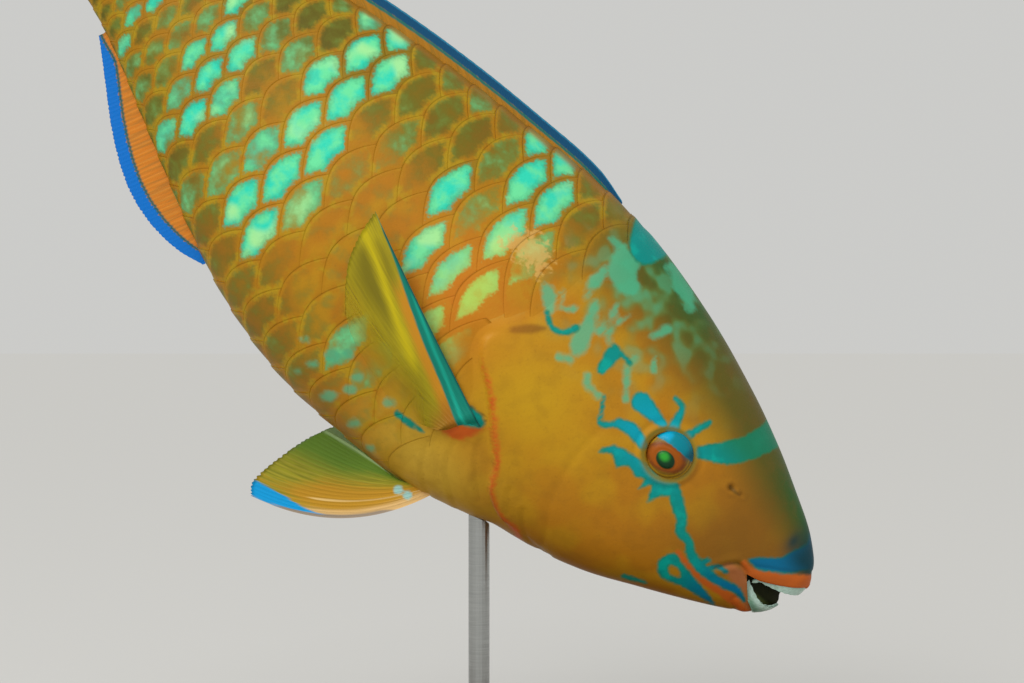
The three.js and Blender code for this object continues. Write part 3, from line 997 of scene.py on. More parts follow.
class Recipe:
    """A material's node tree while it is put together."""

    def __init__(self, name: str) -> None:
        """Starts an empty material."""
        self.material = bpy.data.materials.new(name)
        self.material.use_nodes = True
        self.tree = self.material.node_tree
        self.tree.nodes.clear()
        self.place = self.add("ShaderNodeTexCoord", {}, {}).outputs["Object"]

    def add(self, kind: str, settings: dict, inputs: dict) -> bpy.types.Node:
        """Adds one node to this material."""
        return add_node(self.tree, kind, settings, inputs)

    def layered(self, ground: object, layers: tuple) -> Socket:
        """Lays colours over each other.

        Args:
            ground: the lowest colour, as a hex colour or a socket.
            layers: pairs of a share, as a socket or a painted field's name, and such a colour.

        Returns:
            The colour on top.
        """
        colour = ground
        for share, over in layers:
            inputs = {FACTOR: self.value(share), UNDER: colour, OVER: over}
            colour = self.add("ShaderNodeMix", RGBA, inputs).outputs[MIXED]
        return colour

    def value(self, source: object) -> Socket:
        """The socket of a painted field that source names, or source itself."""
        if isinstance(source, str):
            return self.add("ShaderNodeAttribute", {"attribute_name": source}, {}).outputs["Fac"]
        return source

    def grains(self, **sizes: tuple) -> dict:
        """Makes the paint's unevenness at several sizes.

        Args:
            sizes: for each name the size of its patches in millimetres, and the detail in them.

        Returns:
            A value from 0 to 1 for each name.
        """
        found = {}
        for name, (size_mm, detail) in sizes.items():
            inputs = {"Vector": self.place, "Scale": per_metre(size_mm), "Detail": detail}
            found[name] = self.add("ShaderNodeTexNoise", {}, inputs).outputs["Fac"]
        return found

    def share(self, source: object, low: float, high: float, most: float = 1.0,
              by: object = None) -> Socket:
        """Makes a share of paint that rises smoothly.

        Args:
            source: the value that it follows, as a socket or a painted field's name.
            low: the value at which it is 0.
            high: the value at which it is the most.
            most: its largest size.
            by: another share that it is multiplied by, if any.

        Returns:
            The share.
        """
        rising = self.add("ShaderNodeMapRange", {"interpolation_type": "SMOOTHSTEP"}, {
            "Value": self.value(source), "From Min": low, "From Max": high, "To Max": most,
        }).outputs["Result"]
        if by is None:
            return rising
        inputs = {0: rising, 1: self.value(by)}
        return self.add("ShaderNodeMath", {"operation": "MULTIPLY"}, inputs).outputs[0]

    def moved(self, source: object, other: object, amount: float,
              shift: float = 0.0) -> Socket:
        """Moves one value by another.

        Args:
            source: the value, as a socket or a painted field's name.
            other: what moves it, given in the same way.
            amount: how much of the other is added.
            shift: a plain number that is added too.

        Returns:
            The moved value.
        """
        inputs = {0: self.value(other), 1: amount, 2: shift}
        part = self.add("ShaderNodeMath", {"operation": "MULTIPLY_ADD"}, inputs).outputs[0]
        inputs = {0: self.value(source), 1: part}
        return self.add("ShaderNodeMath", {"operation": "ADD"}, inputs).outputs[0]

    def inside(self, name: str, grain: Socket, waver: float, soft: float,
               most: float = 1.0) -> Socket:
        """The most inside a painted mark and 0 outside, with an edge that strays by waver mm."""
        return self.share(self.moved(name, grain, waver * 2, -waver), soft, -soft, most)

    def finish(self, inputs: dict) -> Material:
        """Closes the tree with one surface shader.

        Args:
            inputs: the shader's input names to values, hex colours or sockets.

        Returns:
            The finished material.
        """
        shader = self.add("ShaderNodeBsdfPrincipled", {}, inputs)
        self.add("ShaderNodeOutputMaterial", {}, {"Surface": shader.outputs[0]})
        return self.material


@dataclass(frozen=True)
class PaintedSkin:
    """Fish skin cast in resin and painted, under a satin varnish: even colour that drifts slowly,
    crisp painted lines, and a soft broad gleam."""

    orange: str = "#AE7214"
    gold: str = "#BC9016"
    olive: str = "#52521A"
    green: str = "#165A24"
    umber: str = "#7A5216"
    teal: str = "#008880"
    teal_light: str = "#00AA98"
    cyan: str = "#009CB4"
    crown: str = "#1C764C"
    blue: str = "#006C96"
    navy: str = "#04363C"
    moss: str = "#5E8644"
    vivid: str = "#C8741A"
    haze: str = "#46AC82"
    rust: str = "#BC5C1C"
    red: str = "#C24C18"
    # The dark brown of the painted shade and painted shadows of the dark marks
    dark: str = "#4A3A14"
    net: str = "#A87410"
    net_gold: str = "#AC9018"
    centre: str = "#66641C"
    cell: str = "#6C8C3E"
    glow: str = "#2CD0B0"
    mint: str = "#6CDC98"
    pale_glow: str = "#A6E494"
    cell_edge: str = "#2C8A64"
    lime: str = "#B6CC4C"
    cream: str = "#D8B064"
    flesh: str = "#A8643A"
    breast: str = "#C4A03A"
    ridge: str = "#96661A"
    # The colour of the painted shade inside the mouth
    mouth: str = "#2A2412"
    socket: str = "#7E7228"
    roughness: float = 0.44
    specular: float = 0.14

    def material(self, name: str) -> Material:
        """Makes the painted skin, as used on flesh and scales alike.

        Args:
            name: the material's name.

        Returns:
            The material, which reads the painted fields.
        """
        r = Recipe(name)
        grain = r.grains(
            broad=(16, 1), smooth=(7, 0.6), middle=(6, 3), fine=(2.2, 3), speck=(1.1, 2), pore=(0.9, 3))
        colour = self.markings(r, grain, self.scales(r, grain, self.ground(r, grain)))
        bump = r.add("ShaderNodeBump", {}, {
            "Height": grain["pore"], "Strength": 0.25, "Distance": 0.0003,
        })
        return r.finish({
            "Base Color": colour, "Roughness": self.roughness, "Specular IOR Level": self.specular,
            "Normal": bump.outputs["Normal"],
        })

    def ground(self, r: Recipe, grain: dict) -> Socket:
        """Paints the skin's own colours, which drift along the body.

        Args:
            r: the recipe.
            grain: the paint's unevenness at each size.

        Returns:
            The colour.
        """
        smooth = grain["smooth"]
        return r.layered(self.orange, (
            ("gold", self.gold),
            (r.share(grain["broad"], 0.43, 0.66, 0.5), self.gold),
            # The breast's pale gold with painted light on the underside
            ("breast", self.breast),
            # Umber: the snout's lower side and a stroke at the gill cover's corner in darker brown, and
            # painted shade along the belly's lowest edge
            ("umber", self.umber),
            ("olive", self.olive),
            ("green", self.green),
            (r.share(grain["middle"], 0.42, 0.72, 0.18), self.umber),
            (r.share(grain["speck"], 0.55, 0.85, 0.22), self.umber),
            (r.share(smooth, 0.4, 0.62, 0.9, "moss"), self.moss),
            (r.share(smooth, 0.52, 0.7, 0.7, "moss"), self.haze),
            ("vivid", self.vivid),
            ("navy", self.navy),
        ))

    def scales(self, r: Recipe, grain: dict, below: Socket) -> Socket:
        """Paints a golden net along the scales' borders and green or bright hearts inside.

        Args:
            r: the recipe.
            grain: the paint's unevenness at each size.
            below: the colour so far.

        Returns:
            The colour.
        """
        middle = grain["middle"]
        rim = r.moved(r.moved("rim", "vivid", -1.6), grain["speck"], 1.2, -0.6)
        rim = r.moved(rim, grain["fine"], 2.0, -1.0)
        glow = r.moved("glow", middle, 0.8, -0.4)
        heart = r.share(rim, 0.6, 2.2, by="scaled")
        border = r.share(rim, 2.8, 0.2, 0.85, "scaled")
        gilding = r.share(middle, 0.42, 0.6, 0.8)
        net = r.layered(self.net, ((gilding, self.net_gold), ("vivid", self.vivid)))
        bright = r.layered(self.glow, (
            (r.share(middle, 0.35, 0.65, 0.9), self.mint),
            (r.share(grain["broad"], 0.5, 0.66, 0.85), self.pale_glow),
            (r.share(rim, 4.2, 0.8, 0.6), self.cell_edge),
        ))
        cell = r.layered(self.cell, ((r.share(glow, 0.15, 0.75), bright), ("lime", self.lime)))
        return r.layered(below, (
            (r.share(middle, 0.3, 0.65, 0.75, r.share("olive", -0.2, 0.6, by=heart)), self.centre),
            (r.share(glow, 1.7, 0.3, by=border), net),
            (r.share(glow, 0.0, 0.55, by=heart), cell),
        ))

    def markings(self, r: Recipe, grain: dict, below: Socket) -> Socket:
        """Paints the lines and patches over all.

        Args:
            r: the recipe.
            grain: the paint's unevenness at each size.
            below: the colour so far.

        Returns:
            The colour.
        """
        middle, fine = grain["middle"], grain["fine"]
        marks = r.layered(self.teal, (
            (r.share(middle, 0.45, 0.7, 0.6), self.teal_light),
            ("cyan", self.cyan),
            ("crown", self.crown),
            ("blue", self.blue),
            (r.share("teal", -1.3, 0.0, 0.7), self.crown),
            ("navy", self.navy),
        ))
        return r.layered(below, (
            (r.inside("spots", middle, 2.6, 1.2, 0.7), self.haze),
            (r.inside("cream", fine, 9.0, 2.0, 0.6), self.cream),
            (r.inside("hazy", middle, 2.8, 1.3, 0.8), self.haze),
            ("ridge", self.ridge),
            (r.inside("flesh", fine, 0.8, 1.4, 0.85), self.flesh),
            (r.inside("red", fine, 1.6, 1.5, 0.85), self.red),
            (r.inside("rust", fine, 0.5, 0.9), self.rust),
            (r.inside("teal", fine, 0.8, 0.75), marks),
            # Painted shade in the nostrils and the fold, painted shadows of the pectoral fin, and a dark
            # line over its knob
            (r.inside("dark", fine, 0.3, 0.6, 0.6), self.dark),
            # Olive ring round the eye, also painted light over the socket's groove
            ("socket", self.socket),
            # Painted shade deeper inside the mouth's lining
            ("mouth", self.mouth),
        ))


# The skin


@dataclass
class Skin:
    """One skin over head, jaw, gill covers, trunk and tail stalk, with its mouth lined."""

    coat_depth: float = 0.9
    inset: float = 0.15
    slit_rows: int = 38
    cap_rows: int = 4
    corner_columns: int = 9
    lower_columns: int = 58
    corner: tuple = (18.0, -4.2)
    upper_lip: tuple = ((18, -4.2), (13, -2.2), (8, 0.6), (4, 3), (0, 5.8), (-3.6, 8.8))
    lower_lip: tuple = ((18, -4.2), (14.3, -7.6), (11, -10.4), (8.2, -12), (4.6, -12.8))
    chin_front: float = 4.6
    lip_front: float = -3.4
    lip_roll: float = 0.8
    snout_height: float = 8.1
    throat: tuple = (29.0, 0.0, -5.5)
    row_plan: tuple = ((18, 58, 42), (58, 86, 56), (86, 152, 60), (152, 340, 60), (340, 408, 28))
    turn_plan: tuple = ((90, 23, 61), (23, -6, 45))
    nostrils: tuple = (((45.8, 14.4), 1.2, 1.3), ((41.4, 15.2), 0.7, 0.8))
    pectoral_root: tuple = (135, -38)
    rows: Array = field(init=False)
    turns: Array = field(init=False)
    upper_columns: int = field(init=False)

    def __post_init__(self) -> None:
        """Lays out the rows and columns."""
        head = np.linspace(self.lip_front, self.corner[0], self.slit_rows)
        parts = [np.linspace(low, high, count + 1)[1:] for low, high, count in self.row_plan]
        self.rows = np.concatenate([head, *parts])
        corner = math.degrees(float(BODY.turn_at(*np.array(self.corner))))
        above = [np.linspace(*plan, endpoint=False) for plan in self.turn_plan]
        above.append(np.linspace(self.turn_plan[-1][1], corner, self.corner_columns))
        self.upper_columns = sum(len(part) for part in above)
        below = np.linspace(corner, -90, self.lower_columns)
        self.turns = np.radians(np.concatenate([*above, below]))

    def relief(self, a: Array, h: Array) -> Array:
        """Gives the skin its folds, creases and swellings.

        Args:
            a: distance behind the snout.
            h: height.

        Returns:
            How far it stands out from the plain form, in millimetres.
        """
        gill, cheek = from_line(GILL_LINE, a, h), from_line(CHEEK_LINE, a, h)
        behind = 0.7 - 2.1 * ease(gill, 0, 1.2) + 1.4 * ease(gill, 2, 10)
        cover = np.where(gill < 0, 0.7 * bell(np.minimum(gill, 0) / 7), behind)
        raised = cover * ease(h, -3, -17) * ease(a, 88, 102)
        raised -= 0.22 * bell(cheek / 1.3) * ease(h, 8, -6)
        raised += 0.25 * bell((cheek + 7) / 6) * ease(h, 4, -12)
        eye = from_eye(a, h)
        raised += 0.6 * bell((eye - 10.6) / 1.1) - 0.2 * bell(eye - 13) - 5.5 * ease(eye, 8.9, 6.2)
        for place, wide, deep in self.nostrils:
            pit = np.hypot(a - place[0], h - place[1])
            raised += 0.25 * bell((pit - wide * 1.9) / 0.8) - deep * bell(pit / wide)
        fold = np.abs(from_line(spline(FOLD, 12), a, h))
        raised -= 0.55 * bell(fold / 0.7) * ease(a, 17, 20)
        raised += 0.3 * bell((fold - 2) / 1.4) * ease(a, 17, 22) * ease(a, 34, 26)
        lip = np.minimum(RUST_MARKS[1].distance(a, h), RUST_MARKS[2].distance(a, h))
        raised += 0.35 * ease(lip, 0.5, -2.5) - 0.3 * bell((lip - 0.8) / 0.9) * ease(a, 30, 18)
        for line in CREASES:
            gap = from_line(spline(line, 6), a, h)
            raised += 0.22 * bell((gap - 1.6) / 1.2) - 0.38 * bell(gap / 0.7)
        at, up = self.pectoral_root
        return raised + 1.6 * ease(np.hypot(a - at, (h - up) * 1.1), 11, 2)

    def level(self, a: Array, h: Array) -> Array:
        """How far the skin under the scales stands out from the plain form, in millimetres."""
        scaled = coat_share(from_line(GILL_LINE, a, h), a)
        return self.relief(a, h) - self.coat_depth * scaled - self.inset

    def sheet(self) -> tuple:
        """Lays out the right half outside the mouth.

        Returns:
            An upper and a lower grid, each as distances behind the snout and angles.
        """
        upper_line = spline(self.upper_lip, 60)[::-1]
        lower_line = spline(self.lower_lip, 60)[::-1]
        m = self.slit_rows
        share = (self.turns[0] - self.turns) / (self.turns[0] - self.turns[self.upper_columns - 1])
        share_up = share[: self.upper_columns]
        base_low = self.turns[self.upper_columns - 1]
        share_low = (base_low - self.turns[self.upper_columns :]) / (base_low + math.pi / 2)
        rows = self.rows
        upper_h = np.interp(rows[:m], upper_line[:, 0], upper_line[:, 1])
        turn_up = BODY.turn_at(rows[:m], upper_h)
        reach = (self.corner[0] - self.chin_front) / (self.corner[0] - rows[0])
        low_a = self.chin_front + (rows[:m] - rows[0]) * reach
        lower_h = np.interp(low_a, lower_line[:, 0], lower_line[:, 1])
        turn_low = BODY.turn_at(low_a, lower_h)
        end_up = np.concatenate([turn_up, np.full(len(rows) - m, base_low)])
        end_low = np.concatenate([turn_low, np.full(len(rows) - m, base_low)])
        turns_up = math.pi / 2 + (end_up[:, None] - math.pi / 2) * share_up[None, :]
        turns_low = end_low[:, None] + (-math.pi / 2 - end_low[:, None]) * share_low[None, :]
        a_up = np.repeat(rows[:, None], len(share_up), axis=1)
        a_low = np.repeat(np.concatenate([low_a, rows[m:]])[:, None], len(share_low), axis=1)
        return (a_up, turns_up), (a_low, turns_low)

    def place(self, a: Array, turn: Array) -> tuple:
        """Lays a grid of the right half on the body.

        Args:
            a: distance behind the snout of each grid point.
            turn: its angle.

        Returns:
            The skin's points, and their places on the plain form.
        """
        plain = BODY.point(a, turn)
        lift = self.level(plain[..., 0], plain[..., 2])
        return plain + BODY.normal(a, turn) * lift[..., None], plain

    def lining(self, edge: Array) -> Array:
        """Rolls the lips inwards and lines the mouth.

        Args:
            edge: the right half of the lip's edge, from the upper lip's front to the chin's.

        Returns:
            Rings of points, from the lip's edge to the throat.
        """
        count = len(edge)
        upper = np.arange(count) < self.slit_rows + self.cap_rows
        run = np.gradient(edge, axis=0)
        plan = np.where(upper[:, None], run, -run)
        outward = np.stack([-plan[:, 1], plan[:, 0], np.zeros(count)], axis=-1)
        outward[0] = outward[-1] = (-1.0, 0.0, 0.0)
        outward /= np.maximum(np.linalg.norm(outward, axis=-1, keepdims=True), TINY)
        opening = np.where(upper[:, None], (0.0, 0.0, -1.0), (0.0, 0.0, 1.0))
        gape = ease(edge[:, 0], self.corner[0], self.corner[0] - 7)
        roll = self.lip_roll * np.where(upper, gape, gape * 0.85)[:, None]
        rings = []
        for angle in np.radians((30, 60, 90, 120, 150, 180)):
            rings.append(edge + roll * (math.sin(angle) * opening - (1 - math.cos(angle)) * outward))
        back, belly, _ = BODY.size(edge[:, 0])
        thick = np.where(upper, back - edge[:, 2], edge[:, 2] - belly)
        depth = np.clip(thick * 0.4, 0.2, 3.0)[:, None] * ease(edge[:, 0], 19, 14)[:, None]
        rings.append(rings[-1] - 0.5 * depth * opening)
        rings.append(rings[-1] - 0.5 * depth * opening - 0.4 * outward)
        start = rings[-1]
        throat = np.array(self.throat)
        for u in np.linspace(0, 1, 12)[1:]:
            swell = 4 * u * (1 - u) * np.where(upper, 2.2, -1.6) * gape
            ring = start * (1 - u) + throat * u
            ring[:, 2] += swell
            rings.append(ring)
        made = np.array(rings)
        made[:, 0, 1] = made[:, -1, 1] = 0
        return made

    def lip_edge(self, upper: Array, lower: Array) -> Array:
        """The edge of the mouth's slit, from the upper lip's front round the corner to the chin's."""
        under = lower[: self.slit_rows - 1, 0][::-1]
        return np.concatenate([upper[: self.slit_rows + self.cap_rows, -1], under])

    def capped(self, upper: Array) -> Array:
        """Closes the front of the upper lip.

        Args:
            upper: the upper grid's points.

        Returns:
            The same with rows in front that start at the snout's tip.
        """
        tip = np.array([upper[0, -1, 0] - 0.5, 0.0, self.snout_height])
        turn = np.linspace(0, math.pi / 2, self.cap_rows, endpoint=False)[:, None]
        cap = tip + (upper[0] - tip) * np.sin(turn)[..., None]
        cap[..., 0] = tip[0] + (upper[0, :, 0] - tip[0]) * (1 - np.cos(turn))
        return np.concatenate([cap, upper])

    def grids(self) -> tuple:
        """Makes the grids of the right half: above and below the mouth, and its lining.

        Returns:
            For each its points, their places on the plain form, both coordinates on the
            unwrap, the share of dark lining, and if its faces are turned round.
        """
        (a_up, t_up), (a_low, t_low) = self.sheet()
        upper, upper_plain = self.place(a_up, t_up)
        lower, lower_plain = self.place(a_low, t_low)
        m, cap = self.slit_rows, self.cap_rows
        lower[m - 1 :, 0] = upper[m - 1 :, -1]
        upper[:, 0, 1] = lower[:, -1, 1] = 0
        lower[0] = lower[0, -1]
        upper = self.capped(upper)
        upper_plain = np.concatenate([np.repeat(upper_plain[:1], cap, axis=0), upper_plain])
        edge = self.lip_edge(upper, lower)
        lining = np.concatenate([edge[None], self.lining(edge)])
        rings, columns = lining.shape[:2]
        lining_plain = np.repeat(self.lip_edge(upper_plain, lower_plain)[None], rings, axis=0)
        # Painted shade: the lining darkens from a few rings inside the lips inwards
        depth = ease(np.arange(rings) - 6, 0, 3)[:, None]
        along = np.linspace(0.06, 0.99, len(self.rows) + cap)[:, None]
        share_up = GIRTH.share(a_up, t_up)
        share_up = np.concatenate([share_up[:cap], share_up])
        share_low = GIRTH.share(a_low, t_low)
        inwards = np.linspace(0.045, 0.005, rings)[:, None]
        return (
            (upper, upper_plain, along, share_up, 0.0, False),
            (lower, lower_plain, along[cap:], share_low, 0.0, False),
            (lining, lining_plain, inwards, np.linspace(0.1, 0.9, columns), depth, True),
        )

    def build(self) -> Piece:
        """Makes the skin mesh and dresses it.

        Returns:
            The skin.
        """
        parts = {key: [] for key in ("points", "plain", "faces", "unwrap", "mouth")}
        grids = self.grids()
        start = 0
        for flank in Flank:
            for grid, flat, u, share, inner, turned in grids:
                quads = grid_faces(*grid.shape[:2], start)
                parts["faces"].append(quads[:, ::-1] if (flank is Flank.RIGHT) == turned else quads)
                parts["points"].append((grid * flank.mirror).reshape(-1, 3))
                parts["plain"].append(flat.reshape(-1, 3))
                place = np.broadcast_arrays(u, 0.5 + 0.48 * flank.value * share)
                parts["unwrap"].append(np.stack(place, axis=-1).reshape(-1, 2))
                # The share of painted shade inside the mouth
                parts["mouth"].append(np.broadcast_to(inner, grid.shape[:2]).ravel())
                start += len(parts["points"][-1])
        points, plain, faces, unwrap, mouth = (np.concatenate(found) for found in parts.values())
        a, h = plain[:, 0], plain[:, 2]
        twice, row, rear, front, q = LATTICE.locate(a, GIRTH.share(a, BODY.turn_at(a, h)))
        fields = paint_fields(a, h) | scale_fields(
            from_line(GILL_LINE, a, h), a, LATTICE.rim(a, q, rear, front), brightness(twice, row), mouth)
        material = PaintedSkin().material("painted_resin_skin")
        skin = make_mesh("skin", points, faces, fields, unwrap, material)
        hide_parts("head", "lower_jaw", "gill_cover_right", "gill_cover_left", "trunk", "tail_stalk")
        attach(skin, "root")
        return skin


# The coat of scales


@dataclass
class Coat:
    """Overlapping scales from the gill covers to the tail fin, as thin curved plates."""

    lift: float = 1.0
    thickness: float = 0.25
    root: float = -1.0
    sunk_root: float = -1.25
    last_column: int = 90
    front: float = 132.0
    rear: float = 401.0
    skin_end: float = 408.0
    along: int = 15
    across: int = 29
    patch: float = 0.0035
    rows: tuple = (-1, 8)
    skin: Skin = field(default_factory=Skin)

    def cells(self) -> Array:
        """Lists the scales of one flank.

        Returns:
            Twice the column number, the row, and the first and last q of each.
        """
        found = []
        reach = LATTICE.row_step * LATTICE.reach
        for row in range(*self.rows):
            share = LATTICE.first_row + row * LATTICE.row_step
            low, high = max(-1.0, (0.003 - share) / reach), min(1.0, (0.997 - share) / reach)
            if high - low < 0.2:
                continue
            middle = np.array([np.clip(share, 0.02, 0.98)])
            for twice in range(row % 2, self.last_column, 2):
                a = LATTICE.along(np.array([twice / 2]), middle)
                h = BODY.point(a, GIRTH.turn(a, middle))[:, 2]
                if from_line(GILL_LINE, a, h)[0] > 4 and self.front < a[0] < self.rear:
                    found.append((twice, row, low, high))
        return np.array(found)

    def plates(self, cells: Array) -> tuple:
        """Lays out scales.

        Args:
            cells: rows from cells().

        Returns:
            Top and bottom points and the fields, as scale by across by along grids, and the
            places q across and p along each scale.
        """
        q = cells[:, 2, None] + (cells[:, 3] - cells[:, 2])[:, None] * np.linspace(0, 1, self.across)
        q = np.repeat(q[:, :, None], self.along, axis=2)
        p = np.linspace(0, 1, self.along)[None, None, :] ** 1.35
        edge = LATTICE.edge(q)
        x = edge + (self.sunk_root - edge) * p
        share = LATTICE.first_row + cells[:, 1, None, None] * LATTICE.row_step
        share = np.clip(share + q * LATTICE.row_step * LATTICE.reach, 0.002, 0.998)
        a = np.minimum(LATTICE.along(cells[:, 0, None, None] / 2 + x, share), self.skin_end)
        turn = GIRTH.turn(a, share)
        plain = BODY.point(a, turn)
        h = plain[..., 2]
        gill = from_line(GILL_LINE, a, h)
        scaled = coat_share(gill, a)
        pitch = LATTICE.pitch_at(a)
        size = np.clip(pitch / LATTICE.pitch, 0.55, 1)
        gap = edge - x
        top = self.lift * size * (x - self.root) / (0.5 - self.root)
        top -= 0.1 * size * bell(gap * pitch / 0.35)
        top = self.skin.level(a, h) + top * scaled - 0.5 * (1 - scaled)
        normal = BODY.normal(a, turn)
        sheets = [plain + normal * lift[..., None] for lift in (top, top - self.thickness * size)]
        glow = brightness(cells[:, 0].astype(int), cells[:, 1].astype(int))
        fields = paint_fields(a, h) | scale_fields(
            gill, a, LATTICE.rim(a, q, gap, x - LATTICE.covered_to(q)),
            np.broadcast_to(glow[:, None, None], a.shape), np.zeros(a.shape))
        return sheets, fields, q, p

    def piece(self, name: str, cells: Array, flank: Flank, material: Material) -> Piece:
        """Makes one mesh of scales and dresses it.

        Args:
            name: the piece's name.
            cells: its scales, as rows from cells().
            flank: the side that it covers.
            material: the scales' finish.

        Returns:
            The piece.
        """
        sheets, fields, q, p = self.plates(cells)
        count = len(cells)
        points = [(sheet * flank.mirror).reshape(count, -1, 3) for sheet in sheets]
        root = self.root_place(cells)
        u = root[:, 0, None, None] + (p - 0.5) * self.patch + 0 * q
        v = 0.5 + flank.value * 0.48 * (root[:, 1, None, None] + q * self.patch)
        unwrap = np.tile(np.stack([u, v], axis=-1).reshape(count, -1, 2), (1, 2, 1)).reshape(-1, 2)
        first = 2 * self.across * self.along * np.arange(count)[:, None, None]
        faces = (plate_faces(self.across, self.along)[None] + first).reshape(-1, 4)[:, :: flank.value]
        doubled = {key: np.tile(found.reshape(count, -1), 2).ravel() for key, found in fields.items()}
        points = np.concatenate(points, axis=1).reshape(-1, 3)
        piece = make_mesh(name, points, faces, doubled, unwrap, material)
        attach(piece, "root")
        return piece

    def build(self) -> list:
        """Makes the scales of both flanks in pieces of under 200,000 triangles.

        Returns:
            The pieces.
        """
        cells = self.cells()
        cells = cells[np.argsort(LATTICE.along(cells[:, 0] / 2, np.full(len(cells), 0.5)))]
        thirds = tuple(zip(("front", "middle", "rear"), np.array_split(cells, 3)))
        material = PaintedSkin().material("painted_resin_scales")
        return [
            self.piece(f"scales_{flank.word}_{part}", chosen, flank, material)
            for flank in Flank for part, chosen in thirds
        ]

    def root_place(self, cells: Array) -> Array:
        """Finds the scales' places on the skin's unwrap.

        Args:
            cells: rows from cells().

        Returns:
            u and the share of the girth for each.
        """
        share = np.clip(LATTICE.first_row + cells[:, 1] * LATTICE.row_step, 0.02, 0.98)
        a = LATTICE.along(cells[:, 0] / 2, share)
        rows = np.concatenate([np.full(self.skin.cap_rows, self.skin.rows[0]), self.skin.rows])
        return np.stack([np.interp(a, rows, np.linspace(0.06, 0.99, len(rows))), share], axis=-1)


# Fins


@dataclass(frozen=True)
class Wash:
    """One colour over a fin: where a field is below 0, or by its own share where soft is 0."""

    field: str
    colour: str
    waver: float = 0.0
    soft: float = 0.0


@dataclass(frozen=True)
class PaintedFin:
    """Thin resin film over fine rays, airbrushed along them: silky, streaked and a little uneven."""

    name: str
    ground: str
    streak: str
    ray: str
    washes: tuple
    streak_mm: float = 0.9
    streak_stretch: float = 14.0
    ray_share: float = 0.45
    roughness: float = 0.36
    specular: float = 0.18
    clear: float = 0.0

    def material(self) -> Material:
        """Makes the fin's finish.

        Returns:
            The material, which reads the fin's painted fields.
        """
        r = Recipe(self.name)
        inputs = {0: r.value("sideways"), 1: r.value("along"), 2: 0.0}
        place = r.add("ShaderNodeCombineXYZ", {}, inputs).outputs[0]
        fine = (1 / self.streak_mm, 1 / (self.streak_mm * self.streak_stretch), 1)
        lines = r.add("ShaderNodeMapping", {}, {"Vector": place, "Scale": fine}).outputs[0]
        inputs = {"Vector": lines, "Scale": 1.0, "Detail": 2.0}
        grain = r.add("ShaderNodeTexNoise", {}, inputs).outputs["Fac"]
        inputs = {0: r.value("ray"), 1: self.ray_share}
        rays = r.add("ShaderNodeMath", {"operation": "MULTIPLY"}, inputs).outputs[0]
        layers = [(r.share(grain, 0.4, 0.65, 0.7), self.streak), (rays, self.ray)]
        for wash in self.washes:
            edged = wash.soft > 0
            share = r.inside(wash.field, grain, wash.waver, wash.soft) if edged else wash.field
            layers.append((share, wash.colour))
        colour = r.layered(self.ground, tuple(layers))
        joints = r.add("ShaderNodeMapping", {}, {"Vector": place, "Scale": (0.3, 0.7, 1)})
        bands = r.add("ShaderNodeTexWave", {"bands_direction": "Y"}, {
            "Vector": joints.outputs[0], "Scale": 1.0, "Distortion": 2.0, "Detail": 1.0,
        })
        height = r.add("ShaderNodeMath", {"operation": "MULTIPLY_ADD"}, {
            0: bands.outputs["Fac"], 1: 0.4, 2: grain,
        })
        bump = r.add("ShaderNodeBump", {}, {
            "Height": height.outputs[0], "Strength": 0.35, "Distance": 0.0002,
        })
        inputs = {
            "Base Color": colour, "Roughness": self.roughness, "Specular IOR Level": self.specular,
            "Normal": bump.outputs["Normal"],
        }
        if self.clear:
            inputs["Alpha"] = r.add("ShaderNodeMapRange", {}, {
                "Value": r.value("thin"), "To Min": 1.0, "To Max": 1 - self.clear,
            }).outputs["Result"]
        return r.finish(inputs)


@dataclass
class Fin:
    """A thin closed sheet over rays that split towards the edge."""

    kind: str
    rays: int
    finish: PaintedFin
    rows: int = 44
    steps: int = 8
    root_half: float = 1.1
    edge_half: float = 0.28
    ridge: float = 0.25
    notch: float = 0.03
    lobe: float = 0.0
    sunk: float = 4.0

    def point(self, u: Array, s: Array) -> Array:
        """The sheet's middle as a, s, h, at shares u along the root and s along the ray."""
        raise NotImplementedError

    def fields(self, u: Array, s: Array, points: Array) -> dict:
        """The kind of fin's own painted fields."""
        raise NotImplementedError

    def build(self) -> list:
        """Makes the fin: one sheet in the fish's middle."""
        return [self.sheet(Flank.RIGHT, "")]

    def sheet(self, flank: Flank, ending: str) -> Piece:
        """Makes one sheet and dresses it.

        Args:
            flank: the side that it is on.
            ending: what its name and its node's name end in.

        Returns:
            The sheet.
        """
        columns = self.rays * self.steps * 2 + 1
        u, s = grid_shares(columns, self.rows)
        turn = 2 * math.pi * self.rays * u
        single, double = 0.5 + 0.5 * np.cos(turn), 0.5 + 0.5 * np.cos(2 * turn)
        split = ease(s, 0.3, 0.65)
        ray = single**4 * (1 - split) + double**3 * split
        frayed = 0.6 + 0.4 * np.sin(u * self.rays * 5.3) * np.sin(u * self.rays * 2.9 + 1)
        middle = self.point(u, s * (1 - self.notch * frayed * (1 - double) * ease(s, 0.75, 1)))
        half = self.root_half + (self.edge_half - self.root_half) * np.sqrt(s)
        half = half + self.ridge * ray * (1 - 0.6 * s) + self.lobe * bell(s / 0.1)
        across = np.array([0.0, 1.0, 0.0]) * half[..., None]
        points = two_sides(middle, across, across) * flank.mirror
        width = np.linalg.norm(middle[-1, -1] - middle[0, -1])
        length = np.linalg.norm(middle[:, -1] - middle[:, 0], axis=-1).mean()
        fields = {"ray": ray, "sideways": u * width, "along": s * length, **self.fields(u, s, middle)}
        doubled = {key: np.tile(found.ravel(), 2) for key, found in fields.items()}
        faces = facing_out(points, plate_faces(columns, self.rows))
        unwrap = spread(columns, self.rows)
        name = f"{self.kind}_sheet{ending}"
        fin = make_mesh(name, points, faces, doubled, unwrap, self.finish.material())
        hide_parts(f"{self.kind}_fin{ending}")
        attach(fin, "root")
        return fin


